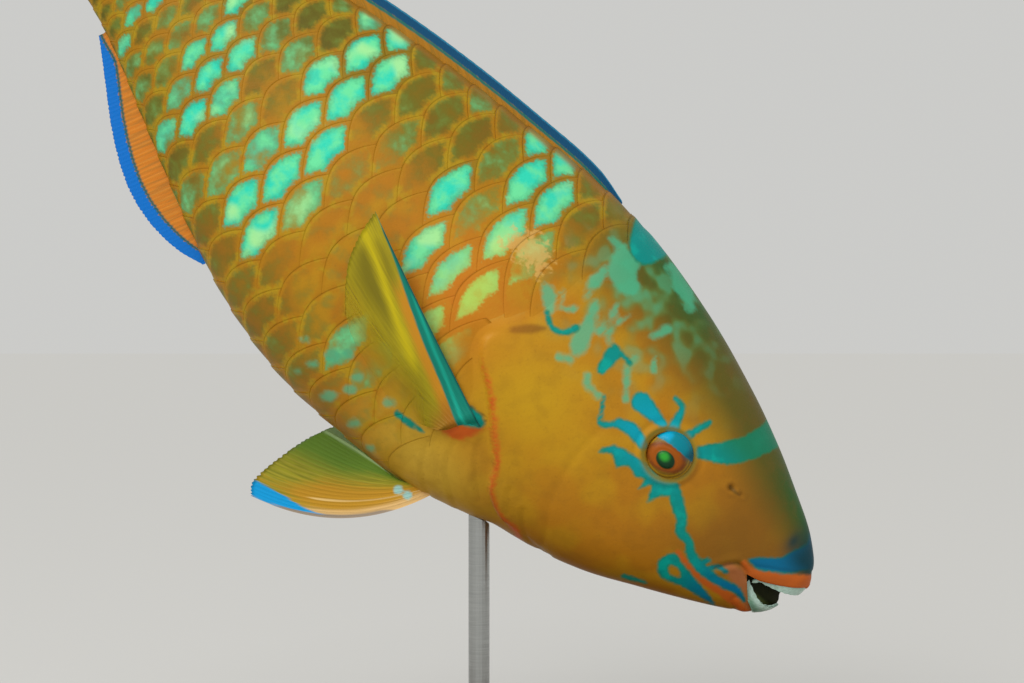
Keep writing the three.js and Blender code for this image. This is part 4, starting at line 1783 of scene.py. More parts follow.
@dataclass
class MidlineFin(Fin):
    """A fin along the back or the belly."""

    start: float = 0.0
    end: float = 0.0
    heights: tuple = ()
    rake: float = 1.0
    upward: int = 1
    band: float = 3.4

    def point(self, u: Array, s: Array) -> Array:
        """The sheet's middle, as in the CAD source.

        Args:
            u: share along the root.
            s: share along the ray.

        Returns:
            Its points as a, s, h.
        """
        foot = self.start + (self.end - self.start) * u
        knots = np.array(self.heights, float)
        top = smooth_at(knots[:, 0], knots[:, 1], foot)
        rise = -self.sunk + (top + self.sunk) * s
        a = foot + self.rake * np.maximum(rise, 0)
        back, belly, _ = BODY.size(a)
        edge = back if self.upward > 0 else belly
        return np.stack([a, np.zeros_like(a), edge + self.upward * rise], axis=-1)

    def fields(self, u: Array, s: Array, points: Array) -> dict:
        """Paints the bright margin, its fine line and its tip.

        Args:
            u: share along the root.
            s: share along the ray.
            points: the sheet's middle.

        Returns:
            Field name to values.
        """
        rim = points[:, -1]
        gap = np.hypot(points[..., 0] - rim[:, None, 0], points[..., 2] - rim[:, None, 2])
        gap = gap / math.hypot(1, self.rake)
        band = self.band * ease(u, 1.02, 0.85) + 0.4
        return {"margin": gap - band, "line": np.abs(gap - band - 0.4) - 0.5, "tip": gap - 0.5}


@dataclass
class FanFin(Fin):
    """A paired fin: bowed rays from a short root to a rounded margin."""

    root: tuple = ()
    margin: tuple = ()
    bow: tuple = (0.0, 0.0)
    side: float = 0.0
    dip: float = 0.0
    flare: float = 0.0
    hugs: bool = False
    margin_steps: int = 240

    def build(self) -> list:
        """Makes the fins of both flanks."""
        return [self.sheet(flank, f"_{flank.word}") for flank in Flank]

    def point(self, u: Array, s: Array) -> Array:
        """The sheet's middle, as in the CAD source.

        Args:
            u: share along the root.
            s: share along the ray.

        Returns:
            Its points as a, s, h.
        """
        root = np.array(self.root, float)
        start = root[0] + (root[1] - root[0]) * u[..., None]
        line = spline(self.margin, self.margin_steps)
        shares = np.linspace(0, 1, self.margin_steps + 1)
        end = np.stack([np.interp(u, shares, line[:, k]) for k in (0, 1)], axis=-1)
        ray = end - start
        length = np.linalg.norm(ray, axis=-1)
        along = -self.sunk / length + (1 + self.sunk / length) * s
        bow = 4 * s * (1 - s) * (self.bow[0] + (self.bow[1] - self.bow[0]) * u)
        normal = np.stack([-ray[..., 1], ray[..., 0]], axis=-1) / length[..., None]
        flat = start + ray * along[..., None] + normal * bow[..., None]
        side = self.side + self.flare * s - self.dip * (1 - s) ** 6
        if self.hugs:
            turn = BODY.turn_at(flat[..., 0], flat[..., 1])
            flank = BODY.point(flat[..., 0], turn)[..., 1]
            share = ease(s, 0.0, 0.45)
            side = (flank + 0.9) * (1 - share) + side * share - 4 * ease(s, 0.05, 0)
        return np.stack([flat[..., 0], side, flat[..., 1]], axis=-1)

    def from_front(self, points: Array) -> Array:
        """The distance in the side view from the fin's leading ray."""
        return np.abs(from_line(points[0][:, [0, 2]], points[..., 0], points[..., 2]))


@dataclass
class PectoralFin(FanFin):
    """The flank fin, swept back: a teal leading ray, then amber, olive painted shade and a thin clear rear.
    """

    lead_width: tuple = (
        (124, 7), (136, 7.2), (148, 5.8), (162, 4.8), (175, 3.4), (186, 1.9), (197, 0.7), (212, -0.2),
    )
    # Where the fin carries an olive patch of painted shade
    dusk: tuple = ((201, -14), (204, -21), (196, -28), (184, -31), (173, -31), (180, -25), (190, -17))

    def fields(self, u: Array, s: Array, points: Array) -> dict:
        """Paints the teal ray, a painted highlight along it, painted shade on its leading edge, the amber
        stripe and olive painted shade, and says how thin the rear is.

        Args:
            u: share along the root.
            s: share along the ray.
            points: the sheet's middle.

        Returns:
            Field name to values.
        """
        gap = self.from_front(points)
        a, h = points[..., 0], points[..., 2]
        teal = gap - np.interp(a, *zip(*self.lead_width))
        dusk = Patch(self.dusk).distance(a, h)
        return {
            # The olive patch of painted shade is among these
            "lead": teal, "amber": np.maximum(teal - 3.4, (a - 184) * 0.3), "dusk": dusk,
            "lemon": np.abs(teal - 6.4) - 1.4 + 4 * ease(a, 165, 150),
            "root_tint": 0.8 * ease(s, 0.24, 0.08), "thin": ease(u, 0.25, 0.85) * ease(s, 0.08, 0.4),
            # A painted highlight along the teal ray, and painted shade on the leading edge
            "gleam": np.abs(teal + 2.6) - 0.6 + 3 * ease(a, 178, 190),
            "edge": np.abs(gap - 0.2) - 0.4 + 2 * ease(a, 200, 212),
        }


@dataclass
class PelvicFin(FanFin):
    """The belly fin, folded back: a pale leading edge, orange and green rays, a bright blue band."""

    spots: tuple = ((128.4, -73.4), (132.4, -74.4))
    spot_radius: float = 1.7

    def fields(self, u: Array, s: Array, points: Array) -> dict:
        """Paints a pale edge, orange middle, green rear, blue band and two pale spots.

        Args:
            u: share along the root.
            s: share along the ray.
            points: the sheet's middle.

        Returns:
            Field name to values.
        """
        gap = self.from_front(points)
        a, h = points[..., 0], points[..., 2]
        spots = np.minimum.reduce([np.hypot(a - at, h - up) for at, up in self.spots])
        band = np.maximum(gap - 5.8 * ease(s, 0.5, 0.95), 1.1 * ease(s, 0.95, 0.75) - gap)
        return {
            "pale": gap - 3.0 + 1.6 * ease(s, 0.6, 0.9),
            "warm": (np.abs(u - 0.26) - 0.22) * 26 + 6 * ease(s, 0.55, 0.95),
            "leafy": (0.6 - u) * 26 + 3 * ease(s, 0.6, 0.2),
            # A pale line along the spine ray: its pale colour with a painted highlight
            "spine": np.abs(u - 0.27 + 0.05 * s) * 30 - 0.35 + ease(s, 0.6, 0.8),
            "hem": gap - 1.3 + 2 * ease(s, 0.3, 0.15) + 2 * ease(s, 0.8, 0.95),
            "blue": band + 3 * ease(s, 0.58, 0.48),
            "spots": spots - self.spot_radius,
            "top": (0.95 - u) * 24,
            "thin": ease(u, 0.3, 0.9) * ease(s, 0.3, 0.7),
        }


@dataclass
class TailFin(Fin):
    """The tail fin: a crescent with bright upper and lower edges."""

    start: float = 399.0
    half_root: float = 25.0
    fork: float = 461.0
    tip: float = 500.0
    half_spread: float = 67.0
    swell: float = 7.0

    def point(self, u: Array, s: Array) -> Array:
        """The sheet's middle, as in the CAD source.

        Args:
            u: share along the root.
            s: share along the ray.

        Returns:
            Its points as a, s, h.
        """
        level = 1 - 2 * u
        lobe = np.sign(level) * np.abs(level) ** 0.85
        end = self.fork + (self.tip - self.fork) * np.abs(level) ** 2.4
        a = self.start + (end - self.start) * s
        low = self.half_root * level - 0.5
        h = low + (self.half_spread * lobe - low) * s + 4 * s * (1 - s) * self.swell * level
        return np.stack([a, np.zeros_like(a), h], axis=-1)

    def fields(self, u: Array, s: Array, points: Array) -> dict:
        """Paints blue outer edges, a blue rear margin and teal inner streaks.

        Args:
            u: share along the root.
            s: share along the ray.
            points: the sheet's middle.

        Returns:
            Field name to values.
        """
        outer = np.minimum(u, 1 - u)
        rim = points[:, -1][:, None]
        gap = np.linalg.norm(points - rim, axis=-1)
        return {
            "edge": (outer - 0.06) * 130,
            "streaks": (np.abs(outer - 0.15) - 0.035) * 130 + 20 * ease(s, 0.3, 0.05),
            "margin": gap - 3.5,
            "line": np.abs(gap - 5) - 0.8,
        }


def fins() -> list:
    """Lists the fins.

    Returns:
        All kinds of fin with their sizes and finishes.
    """
    midline = (Wash("margin", "#064A70", 0.5, 0.35), Wash("line", "#1C6A60", 0.3, 0.35))
    dorsal = MidlineFin(
        "dorsal", 24,
        PaintedFin("airbrushed_film_dorsal", "#A87216", "#8C6A1C", "#B87C1C", midline + (
            Wash("tip", "#2A84A8", 0.4, 0.25),)),
        start=149, end=354, rake=1.6, band=3.0, steps=6, rows=26, notch=0.01, ridge=0.08,
        heights=((149, 0.6), (158, 3.6), (188, 5.4), (225, 6.4), (260, 7.2), (310, 8), (340, 8), (354, 5)),
    )
    anal = MidlineFin(
        "anal", 30,
        PaintedFin("airbrushed_film_anal", "#CC7820", "#A8702A", "#DC8E30", (
            Wash("margin", "#006CC4", 1.1, 0.3), Wash("line", "#0A5A5C", 0.15, 0.5))),
        start=245, end=334, rake=0.35, upward=-1, band=4.2, notch=0.028, steps=6, ridge=0.08,
        heights=((245, 1), (254, 8), (268, 14), (282, 16), (300, 13.4), (318, 8), (334, 2.4)),
    )
    tail = TailFin(
        "tail", 18,
        PaintedFin("airbrushed_film_tail", "#A8741E", "#7E7A2A", "#BE8424", (
            Wash("streaks", "#1C9C84", 1.2, 0.8), Wash("edge", "#1278B4", 1.0, 0.6),
            Wash("margin", "#1278B4", 0.8, 0.5), Wash("line", "#1C9C84", 0.5, 0.5))),
        notch=0.014,
    )
    pectoral = PectoralFin(
        "pectoral", 12,
        PaintedFin("airbrushed_film_pectoral", "#AC9C18", "#908218", "#B8A61E", (
            # Olive painted shade, a lemon stripe
            Wash("dusk", "#7C7012", 1.5, 3.5), Wash("lemon", "#C8B410", 1.2, 2.2),
            Wash("amber", "#C4861C", 1.2, 1.6), Wash("root_tint", "#8E5A14"),
            # The teal leading ray, a painted highlight along it, and painted shade on its leading edge
            Wash("lead", "#067A68", 0.3, 0.45), Wash("gleam", "#10A08A", 0.5, 0.7),
            Wash("edge", "#0A5A52", 0.3, 0.4)), clear=0.9),
        root=((131.5, -33.6), (140.5, -46.5)), bow=(-0.6, -3), side=32, dip=6, flare=13, lobe=1.6,
        hugs=True, notch=0.008, ridge=0.1,
        margin=((209.4, -6.4), (206.4, -19.2), (200, -30.6), (186, -43), (161.5, -50)),
    )
    pelvic = PelvicFin(
        "pelvic", 11,
        PaintedFin("airbrushed_film_pelvic", "#A09A28", "#7C7C22", "#B8A840", (
            Wash("leafy", "#66882C", 2.5, 3.5), Wash("warm", "#C08E24", 3.0, 3.0),
            Wash("top", "#9CB87C", 0.5, 0.6), Wash("pale", "#DCB474", 0.9, 1.1),
            # The spine ray's pale line with a painted highlight, and a greyish hem
            Wash("spine", "#E4C078", 0.3, 0.3), Wash("hem", "#9A8A78", 0.3, 0.4),
            Wash("spots", "#A0CCC4", 0.6, 0.6), Wash("blue", "#0A9CDC", 1.2, 0.5)), clear=0.25),
        root=((124.8, -69), (140, -73)), bow=(-8.8, 1), side=7, dip=1, flare=16, notch=0.012,
        ridge=0.16,
        margin=((169.6, -113.2), (172.8, -109), (172.7, -101), (171.4, -91.5), (169.6, -83), (167, -76.6)),
    )
    return [dorsal, anal, tail, pectoral, pelvic]


# Beak


@dataclass(frozen=True)
class PolishedBeak:
    """Fused teeth cast in cream resin and polished: glossy, milky, greener towards the gum."""

    biting: str = "#B2D0C2"
    gum: str = "#709E86"
    stain: str = "#4C6444"
    cloud: str = "#8CAC92"
    roughness: float = 0.22

    def material(self) -> Material:
        """Makes the beak's finish.

        Returns:
            The material, which reads the plates' painted fields.
        """
        r = Recipe("polished_resin_beak")
        grain = r.grains(cloud=(1.6, 4), fine=(0.5, 2))
        clouds = r.add("ShaderNodeMapRange", {}, {
            "Value": grain["cloud"], "From Min": 0.5, "From Max": 0.9,
        })
        colour = r.layered(self.biting, (
            ("gum", self.gum), ("groove", self.stain), (clouds.outputs["Result"], self.cloud),
        ))
        bump = r.add("ShaderNodeBump", {}, {
            "Height": grain["fine"], "Strength": 0.15, "Distance": 0.0002,
        })
        return r.finish({
            "Base Color": colour, "Roughness": self.roughness, "Coat Weight": 0.4, "Coat Roughness": 0.1,
            "Normal": bump.outputs["Normal"],
        })


def half_ring(u: Array) -> tuple:
    """Bends a sheet round the front of the mouth.

    Args:
        u: shares from the left corner of the mouth to the right one.

    Returns:
        The angle from the front, how far back it lies as a share, and the way outwards.
    """
    arc = (2 * u - 1) * math.pi / 2
    outward = np.stack([-np.cos(arc), np.sin(arc), np.zeros_like(arc)], axis=-1)
    return arc, 1 - np.cos(arc), outward


@dataclass(frozen=True)
class BeakPlate:
    """One half ring of fused teeth: a ribbed outer face and a finely scalloped edge."""

    name: str
    node: str
    front: float
    rear: float
    half: float
    lean: float
    bulge: float
    root: tuple
    bite: tuple
    dip: float
    thick: float = 1.8
    edge: float = 0.7
    teeth: int = 17
    tooth_rows: int = 5
    columns: int = 171
    rows: int = 22
    tooth_place: tuple = (12.4, 9.2, -0.7)
    tooth_lean: tuple = (1.4, 0.6, -4.4)
    tooth_radius: float = 1.5
    tooth_grid: tuple = (15, 25)

    def build(self, material: Material, corner_tooth: bool) -> Piece:
        """Makes the plate, with a small tooth at each corner if asked.

        Args:
            material: the beak's finish.
            corner_tooth: if the plate carries the two corner teeth.

        Returns:
            The plate as one piece.
        """
        u, s = grid_shares(self.columns, self.rows)
        arc, back, outward = half_ring(u)
        root = self.root[0] + (self.root[1] - self.root[0]) * back
        down = 1 if self.root[0] > self.bite[0] else -1
        scallop = 0.5 + 0.5 * np.cos(2 * math.pi * u * self.teeth)
        bite = self.bite[0] + (self.bite[1] - self.bite[0]) * back
        bite += 0.22 * down * (1 - scallop) - self.dip * np.sin(math.pi * np.minimum(back, 1) ** 0.65)
        lean = self.lean * s + self.bulge * 4 * s * (1 - s)
        x = self.front + (self.rear - self.front) * back - lean * np.cos(arc)
        middle = np.stack([x, self.half * np.sin(arc), root + (bite - root) * s], axis=-1)
        course = s * self.tooth_rows
        brick = 0.5 + 0.5 * np.cos(2 * math.pi * (u * self.teeth + 0.5 * np.floor(course)))
        step = np.abs(course % 1 - 0.5) * 2
        rib = 0.07 * brick**0.5 + 0.04 * (1 - step**6)
        half = (self.thick + (self.edge - self.thick) * s * s) / 2
        points = two_sides(middle, outward * (half + rib - 0.1)[..., None], outward * half[..., None])
        faces = facing_out(points, plate_faces(self.columns, self.rows))
        fields = {
            "gum": np.tile(ease(s, 0.7, 0.15).ravel(), 2),
            "groove": np.tile(((1 - brick) ** 4 * 0.12 + 0.1 * step**8).ravel(), 2),
        }
        unwrap = spread(self.columns, self.rows, 0.2)
        if corner_tooth:
            for flank in Flank:
                points, faces, fields, unwrap = self.with_tooth(points, faces, fields, unwrap, flank)
        plate = make_mesh(self.name, points, faces, fields, unwrap, material)
        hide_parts(self.node)
        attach(plate, "root")
        return plate

    def with_tooth(self, points: Array, faces: Array, fields: dict, unwrap: Array,
                   flank: Flank) -> tuple:
        """Adds one small hooked tooth behind the plate.

        Args:
            points: the plate's points so far.
            faces: its faces.
            fields: its painted fields.
            unwrap: its places in the bake map.
            flank: the side of the mouth.

        Returns:
            The same four with the tooth added.
        """
        rings, segments = self.tooth_grid
        s = np.linspace(0, 1, rings)[:, None]
        turn = np.linspace(0, 2 * math.pi, segments)[None, :]
        radius = self.tooth_radius * np.sqrt(np.maximum(1 - s**1.6, 0)) * np.where(s == 0, 0, 1)
        a = self.tooth_place[0] + radius * np.cos(turn) + self.tooth_lean[0] * s
        side = self.tooth_place[1] + radius * 0.8 * np.sin(turn) + self.tooth_lean[1] * s**2
        h = self.tooth_place[2] + self.tooth_lean[2] * s + 0 * turn
        tooth = (np.stack([a, side, h], axis=-1) * flank.mirror).reshape(-1, 3)
        quads = facing_out(tooth, grid_faces(rings, segments)) + len(points)
        share = np.repeat(ease(s, 0.5, 0.0), segments, axis=1).ravel()
        low = 0.02 + 0.5 * (flank is Flank.LEFT)
        u, v = np.broadcast_arrays(low + turn / 2 / math.pi * 0.4, 0.02 + s * 0.15)
        return (
            np.concatenate([points, tooth]), np.concatenate([faces, quads]),
            {"gum": np.concatenate([fields["gum"], share * 0.3]),
             "groove": np.concatenate([fields["groove"], share * 0])},
            np.concatenate([unwrap, np.stack([u, v], axis=-1).reshape(-1, 2)]),
        )


@dataclass(frozen=True)
class SatinMouth:
    """Soft resin, cast and painted near black as painted shade of the mouth's inside: barely a gleam,
    clouded, and olive towards its floor.
    """

    # Painted shade: the near black of the mouth's inside
    dark: str = "#101606"
    cloud: str = "#24240C"
    floor: str = "#586434"
    roughness: float = 0.6
    specular: float = 0.1

    def material(self) -> Material:
        """Makes the mouth's finish.

        Returns:
            The material, which reads the curtain's painted field.
        """
        r = Recipe("satin_resin_mouth_painted_shade")
        grain = r.grains(cloud=(2.0, 3), fine=(0.8, 2))
        colour = r.layered(self.dark, ((grain["cloud"], self.cloud), ("floor", self.floor)))
        bump = r.add("ShaderNodeBump", {}, {
            "Height": grain["fine"], "Strength": 0.3, "Distance": 0.0003,
        })
        return r.finish({
            "Base Color": colour, "Roughness": self.roughness, "Specular IOR Level": self.specular,
            "Normal": bump.outputs["Normal"],
        })


@dataclass(frozen=True)
class MouthValve:
    """The soft curtain of skin just behind both plates, painted dark as the shade inside the mouth."""

    depth: float = 17.0
    front: tuple = (
        (0.0, 1.6), (0.35, 2.4), (0.4, 2.2), (0.49, 0.9), (0.58, 0.4), (0.64, 0.7), (0.82, 2.4),
        (1.0, 4.8),
    )
    half: float = 5.6
    top: tuple = (6.0, -0.5)
    bottom: tuple = (-11.0, -9.5)
    half_thick: float = 0.3
    columns: int = 61
    rows: int = 25

    def build(self) -> Piece:
        """Makes the curtain with its wrinkles and dresses it.

        Returns:
            The curtain.
        """
        u, s = grid_shares(self.columns, self.rows)
        arc, back, outward = half_ring(u)
        wrinkle = 0.18 * np.cos(14 * arc) * np.sin(math.pi * s)
        top = self.top[0] + (self.top[1] - self.top[0]) * back
        bottom = self.bottom[0] + (self.bottom[1] - self.bottom[0]) * back
        x = np.interp(s, *zip(*self.front)) * (1 - back) + self.depth * back + wrinkle
        middle = np.stack([x, self.half * np.sin(arc), top + (bottom - top) * s], axis=-1)
        points = two_sides(middle, outward * self.half_thick, outward * self.half_thick)
        faces = facing_out(points, plate_faces(self.columns, self.rows))
        unwrap = spread(self.columns, self.rows)
        low = np.tile(ease(s, 0.68, 0.84).ravel(), 2)
        material = SatinMouth().material()
        valve = make_mesh("mouth_valve", points, faces, {"floor": low}, unwrap, material)
        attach(valve, "root")
        return valve


def beak_plates() -> tuple:
    """Lists the two plates.

    Returns:
        The upper and the lower one with their sizes.
    """
    upper = BeakPlate("beak_plate_upper", "upper_beak", front=-2.1, rear=12.4, half=9.1, lean=1.2,
                      bulge=0.3, root=(10.2, 0.6), bite=(4.4, -3.2), dip=1.2)
    lower = BeakPlate("beak_plate_lower", "lower_beak", front=5, rear=15.2, half=8.6, lean=5.2,
                      bulge=0.8, root=(-13, -9.2), bite=(-3.5, -5), dip=3.8, edge=1.2)
    return upper, lower


# Eyes


@dataclass(frozen=True)
class GlassEye:
    """Taxidermist's eye: painted iris and pupil under clear glass, so wet gloss over soft colour."""

    white: str = "#80601A"
    iris: str = "#964C06"
    iris_dark: str = "#6E3A10"
    ring: str = "#A88018"
    crescent: str = "#007C8C"
    # Painted highlight: the brighter cyan of the crescent's upper rear
    crescent_highlight_colour: str = "#009CC4"
    crescent_dark: str = "#084C5E"
    pupil: str = "#10381E"
    # Painted reflection: the bright green glint in the pupil
    pupil_reflection_colour: str = "#2E9A30"
    roughness: float = 0.4
    coat_roughness: float = 0.08
    coat_ior: float = 1.35

    def material(self) -> Material:
        """Makes the eye's finish.

        Returns:
            The material, which reads the eye's painted fields.
        """
        r = Recipe("painted_eye_under_glass")
        fine = r.grains(fine=(1.4, 3))["fine"]
        marks = (
            ("bands", 0.15, 0.25, self.ring), ("iris", 0.4, 0.5, self.iris),
            ("iris_shade", 0.5, 0.8, self.iris_dark), ("crescent", 0.3, 0.35, self.crescent),
            ("crescent_front", 0.5, 2.0, self.crescent_dark),
            ("crescent_rear", 0.5, 1.2, self.crescent_highlight_colour),
            ("pupil", 0.1, 0.3, self.pupil), ("pupil_glow", 0.2, 1.0, self.pupil_reflection_colour),
        )
        colour = r.layered(self.white, tuple(
            (r.inside(name, fine, waver, soft), paint) for name, waver, soft, paint in marks))
        return r.finish({
            "Base Color": colour, "Roughness": self.roughness, "Specular IOR Level": 0.15,
            "Coat Weight": 0.05, "Coat Roughness": self.coat_roughness, "Coat IOR": self.coat_ior,
        })


@dataclass(frozen=True)
class Eye:
    """One eye: a flattened ball with a raised pupil, a sloping iris and a domed crescent."""

    radius: float = 9.4
    bulge: float = 6.1
    sunk: float = 2.9
    rings: int = 72
    segments: int = 120
    crescent: tuple = (
        (79.4, 8.2), (79.2, 11.6), (76.4, 15.2), (71.4, 16.2), (66, 14.6), (63.4, 11), (67, 10.2),
        (71.6, 9.9), (76, 9.2),
    )
    pupil_place: tuple = (71.4, 4.3)
    pupil_size: tuple = (3.8, 3.0)
    iris_place: tuple = (71.8, 5.0)
    iris_size: tuple = (7.6, 5.0)
    iris_tilt: tuple = (0.94, 0.34)
    groove: float = 8.3
    bands: tuple = (8.9, 7.7)

    def build(self, flank: Flank) -> Piece:
        """Makes the eye of one flank and dresses it.

        Args:
            flank: the side that it is on.

        Returns:
            The eye.
        """
        slope = np.linspace(0, math.pi, self.rings)[:, None]
        turn = np.linspace(0, 2 * math.pi, self.segments + 1)[None, :]
        radius = self.radius * np.sin(slope)
        a = EYE_A + radius * np.cos(turn)
        h = EYE_H + radius * np.sin(turn)
        front = ease(np.cos(slope), 0, 0.35)
        (pupil_a, pupil_h), (iris_a, iris_h) = self.pupil_place, self.iris_place
        wide, high = self.pupil_size
        pupil = np.hypot((a - pupil_a) / wide, (h - pupil_h) / high) * 3.2 - 3.2
        run, rise = self.iris_tilt
        along = (a - iris_a) * run - (h - iris_h) * rise
        across = (h - iris_h) * run + (a - iris_a) * rise
        iris = np.hypot(along / self.iris_size[0], across / self.iris_size[1]) * 5 - 5
        crescent = Patch(self.crescent, 5).distance(a, h)
        detail = 0.5 * ease(pupil, 0.4, -0.8) - 0.3 * bell(pupil / 0.7)
        detail += 0.35 * ease(crescent, 0.3, -1.6) - 0.25 * bell((radius - self.groove) / 0.35)
        lift = self.bulge * np.cos(slope) + detail * front
        side = BODY.flank_at(EYE_A, EYE_H) - self.sunk + lift
        middle = np.stack(np.broadcast_arrays(a, side, h), axis=-1)
        points = (middle * flank.mirror).reshape(-1, 3)
        faces = facing_out(points, grid_faces(self.rings, self.segments + 1))
        band = np.minimum.reduce([np.abs(radius - at) for at in self.bands]) - 0.25
        fields = {
            "bands": band, "iris": iris, "iris_shade": np.abs(iris + 0.3) - 0.35,
            "crescent": crescent,
            "crescent_front": np.maximum(crescent, a - 67),
            # Painted highlight: a brighter cyan spot at the crescent's upper rear
            "crescent_rear": np.maximum(crescent + 0.6, np.hypot(a - 77.4, (h - 11) * 0.8) - 2.2),
            "pupil": pupil,
            # Painted reflection: a bright green glint in the pupil's rear
            "pupil_glow": np.maximum(pupil + 0.7, np.hypot((a - 72.6) * 0.8, h - 4.9) - 1.5),
        }
        flat = {key: np.broadcast_to(values, a.shape).ravel() for key, values in fields.items()}
        u = 0.5 + 0.48 * slope / math.pi * np.cos(turn)
        v = 0.5 + 0.48 * slope / math.pi * np.sin(turn)
        unwrap = np.stack([u, v], axis=-1).reshape(-1, 2)
        name = f"glass_eye_{flank.word}"
        eye = make_mesh(name, points, faces, flat, unwrap, GlassEye().material())
        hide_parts(f"eye_{flank.word}")
        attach(eye, "root")
        return eye


# Stand


@dataclass(frozen=True)
class OiledWalnut:
    """Walnut, planed and oiled: long brown grain with darker pores and a low satin gleam."""

    light: str = "#6A4426"
    dark: str = "#3A2414"
    pore: str = "#241408"
    ring_mm: float = 9.0
    pore_mm: float = 0.8
    roughness: float = 0.42

    def material(self) -> Material:
        """Makes the base's finish.

        Returns:
            The material, with the grain along the base's length.
        """
        r = Recipe("oiled_walnut")
        grain = r.add("ShaderNodeMapping", {}, {"Vector": r.place, "Scale": (0.09, 1, 1.6)}).outputs[0]
        rings = r.add("ShaderNodeTexNoise", {}, {
            "Vector": grain, "Scale": per_metre(self.ring_mm), "Detail": 6.0, "Roughness": 0.6,
        })
        pores = r.add("ShaderNodeMapping", {}, {"Vector": r.place, "Scale": (0.05, 1, 1)}).outputs[0]
        pore = r.add("ShaderNodeTexNoise", {}, {
            "Vector": pores, "Scale": per_metre(self.pore_mm), "Detail": 2.0,
        })
        share = r.add("ShaderNodeMapRange", {}, {
            "Value": rings.outputs["Fac"], "From Min": 0.35, "From Max": 0.65,
        })
        holes = r.add("ShaderNodeMapRange", {}, {
            "Value": pore.outputs["Fac"], "From Min": 0.6, "From Max": 0.75, "To Max": 0.7,
        })
        colour = r.layered(self.light, (
            (share.outputs["Result"], self.dark), (holes.outputs["Result"], self.pore),
        ))
        bump = r.add("ShaderNodeBump", {"invert": True}, {
            "Height": holes.outputs["Result"], "Strength": 0.3, "Distance": 0.0002,
        })
        return r.finish({
            "Base Color": colour, "Roughness": self.roughness, "Normal": bump.outputs["Normal"],
        })


@dataclass(frozen=True)
class BrushedSteel:
    """Stainless steel bar, brushed round: a soft bright line down it and fine rings."""

    colour: str = "#B8BAB8"
    scratch: str = "#9A9C9A"
    scratch_mm: float = 0.4

    def material(self) -> Material:
        """Makes the rod's finish.

        Returns:
            The material, with fine rings round the rod.
        """
        r = Recipe("brushed_stainless_steel")
        lines = r.add("ShaderNodeMapping", {}, {"Vector": r.place, "Scale": (0.05, 0.05, 1)}).outputs[0]
        scratch = r.add("ShaderNodeTexNoise", {}, {
            "Vector": lines, "Scale": per_metre(self.scratch_mm), "Detail": 3.0,
        })
        rough = r.add("ShaderNodeMapRange", {}, {
            "Value": scratch.outputs["Fac"], "To Min": 0.22, "To Max": 0.42,
        })
        bump = r.add("ShaderNodeBump", {}, {
            "Height": scratch.outputs["Fac"], "Strength": 0.1, "Distance": 0.0001,
        })
        colour = r.layered(self.colour, ((scratch.outputs["Fac"], self.scratch),))
        return r.finish({
            "Base Color": colour, "Metallic": 1.0, "Roughness": rough.outputs["Result"],
            "Normal": bump.outputs["Normal"],
        })


class Stand:
    """The wooden base and its steel rod, kept from the CAD."""

    def dress(self, nodes: dict) -> None:
        """Gives both nodes of the frame their finishes."""
        for name, finish in (("stand_base", OiledWalnut()), ("stand_rod", BrushedSteel())):
            nodes[name].material_slots[0].material = finish.material()


# Studio


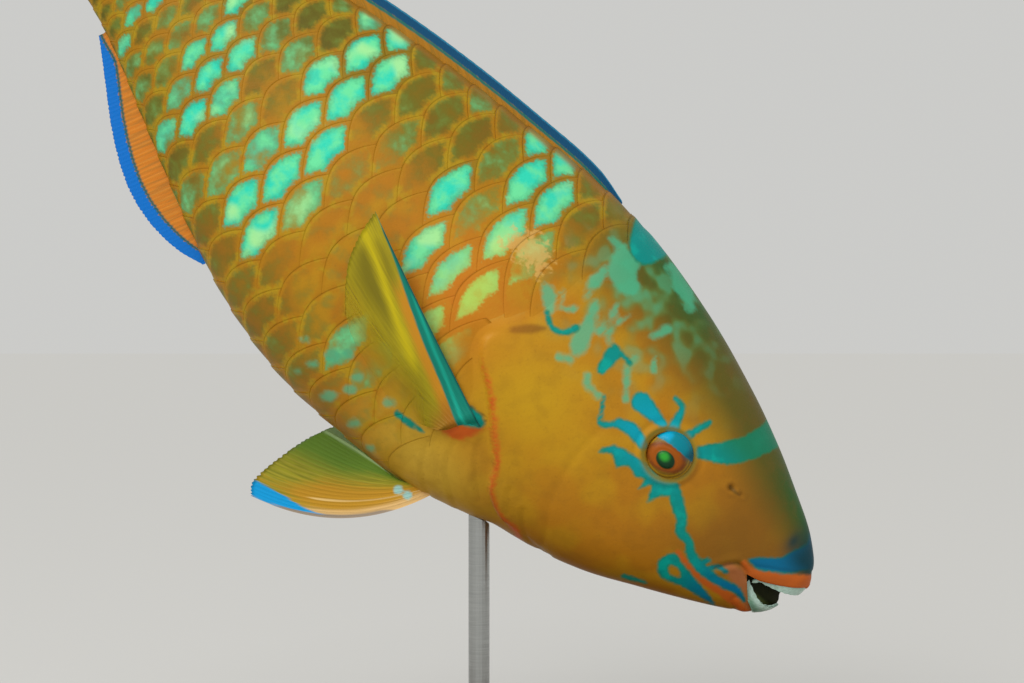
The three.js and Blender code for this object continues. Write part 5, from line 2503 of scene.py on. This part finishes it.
@dataclass(frozen=True)
class Studio:
    """A pale floor, soft lamps and the camera at the photo's angle."""

    camera_place: tuple = (0.01254, -0.800, 0.17673)
    lens: float = 73.97
    floor_size: float = 60.0
    floor_colour: str = "#C9C8C5"
    air_colour: str = "#FFFFFC"
    air_power: float = 0.6
    sun_aim: tuple = (0.45, 0.62, -0.9)
    sun_power: float = 1.7
    sun_spread: float = 38.0
    lamps: tuple = (
        ("softbox", (-0.75, -1.1, 0.95), 0.7, 4.0),
        ("catch_light", (0.05, -1.25, 0.42), 0.12, 0.8),
    )
    lamp_aim: tuple = (0.0, 0.0, 0.25)

    def build(self) -> None:
        """Makes floor, world, lamps and camera."""
        scene = bpy.context.scene
        scene.view_settings.view_transform = "Standard"
        half = self.floor_size / 2
        mesh = bpy.data.meshes.new("floor")
        mesh.from_pydata([(-half, -half, 0), (half, -half, 0), (half, half, 0), (-half, half, 0)], [],
                         [(0, 1, 2, 3)])
        mesh.materials.append(Recipe("matt_pale_floor").finish({
            "Base Color": self.floor_colour, "Roughness": 1.0, "Specular IOR Level": 0.0,
        }))
        floor = bpy.data.objects.new("floor", mesh)
        scene.collection.objects.link(floor)
        world = bpy.data.worlds.new("studio_air")
        world.use_nodes = True
        air = world.node_tree.nodes["Background"]
        air.inputs["Color"].default_value = linear(self.air_colour)
        air.inputs["Strength"].default_value = self.air_power
        scene.world = world
        sun = bpy.data.lights.new("skylight", "SUN")
        sun.energy = self.sun_power
        sun.angle = math.radians(self.sun_spread)
        self.hang(sun, (0, 0, 3), self.sun_aim)
        for name, place, size, watts in self.lamps:
            lamp = bpy.data.lights.new(name, "AREA")
            lamp.shape = "DISK"
            lamp.size = size
            lamp.energy = watts
            self.hang(lamp, place, tuple(np.array(self.lamp_aim) - np.array(place)))
        view = bpy.data.cameras.new("camera")
        view.lens = self.lens
        view.sensor_width = 36.0
        view.clip_start = 0.01
        camera = bpy.data.objects.new("camera", view)
        camera.location = self.camera_place
        camera.rotation_euler = (math.pi / 2, 0, 0)
        scene.collection.objects.link(camera)
        scene.camera = camera

    def hang(self, lamp: bpy.types.Light, place: tuple, aim: tuple) -> None:
        """Hangs up a lamp.

        Args:
            lamp: the lamp.
            place: where it hangs, in metres.
            aim: the way that it shines.
        """
        obj = bpy.data.objects.new(lamp.name, lamp)
        obj.location = place
        obj.rotation_mode = "QUATERNION"
        obj.rotation_quaternion = Vector(aim).to_track_quat("-Z", "Y")
        bpy.context.scene.collection.objects.link(obj)


def main() -> None:
    """Builds the model's parts in order and reports each piece's triangles."""
    logging.basicConfig(level=logging.INFO, format="%(message)s")
    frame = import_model()
    Studio().build()
    Stand().dress(frame["nodes"])
    pieces = [Skin().build(), *Coat().build()]
    for fin in fins():
        pieces += fin.build()
    upper, lower = beak_plates()
    enamel = PolishedBeak().material()
    pieces += [upper.build(enamel, True), lower.build(enamel, False), MouthValve().build()]
    pieces += [Eye().build(flank) for flank in Flank]
    for piece in pieces:
        triangles = sum(len(face.vertices) - 2 for face in piece.data.polygons)
        log.info("%s: %d triangles", piece.name, triangles)


if __name__ == "__main__":
    main()
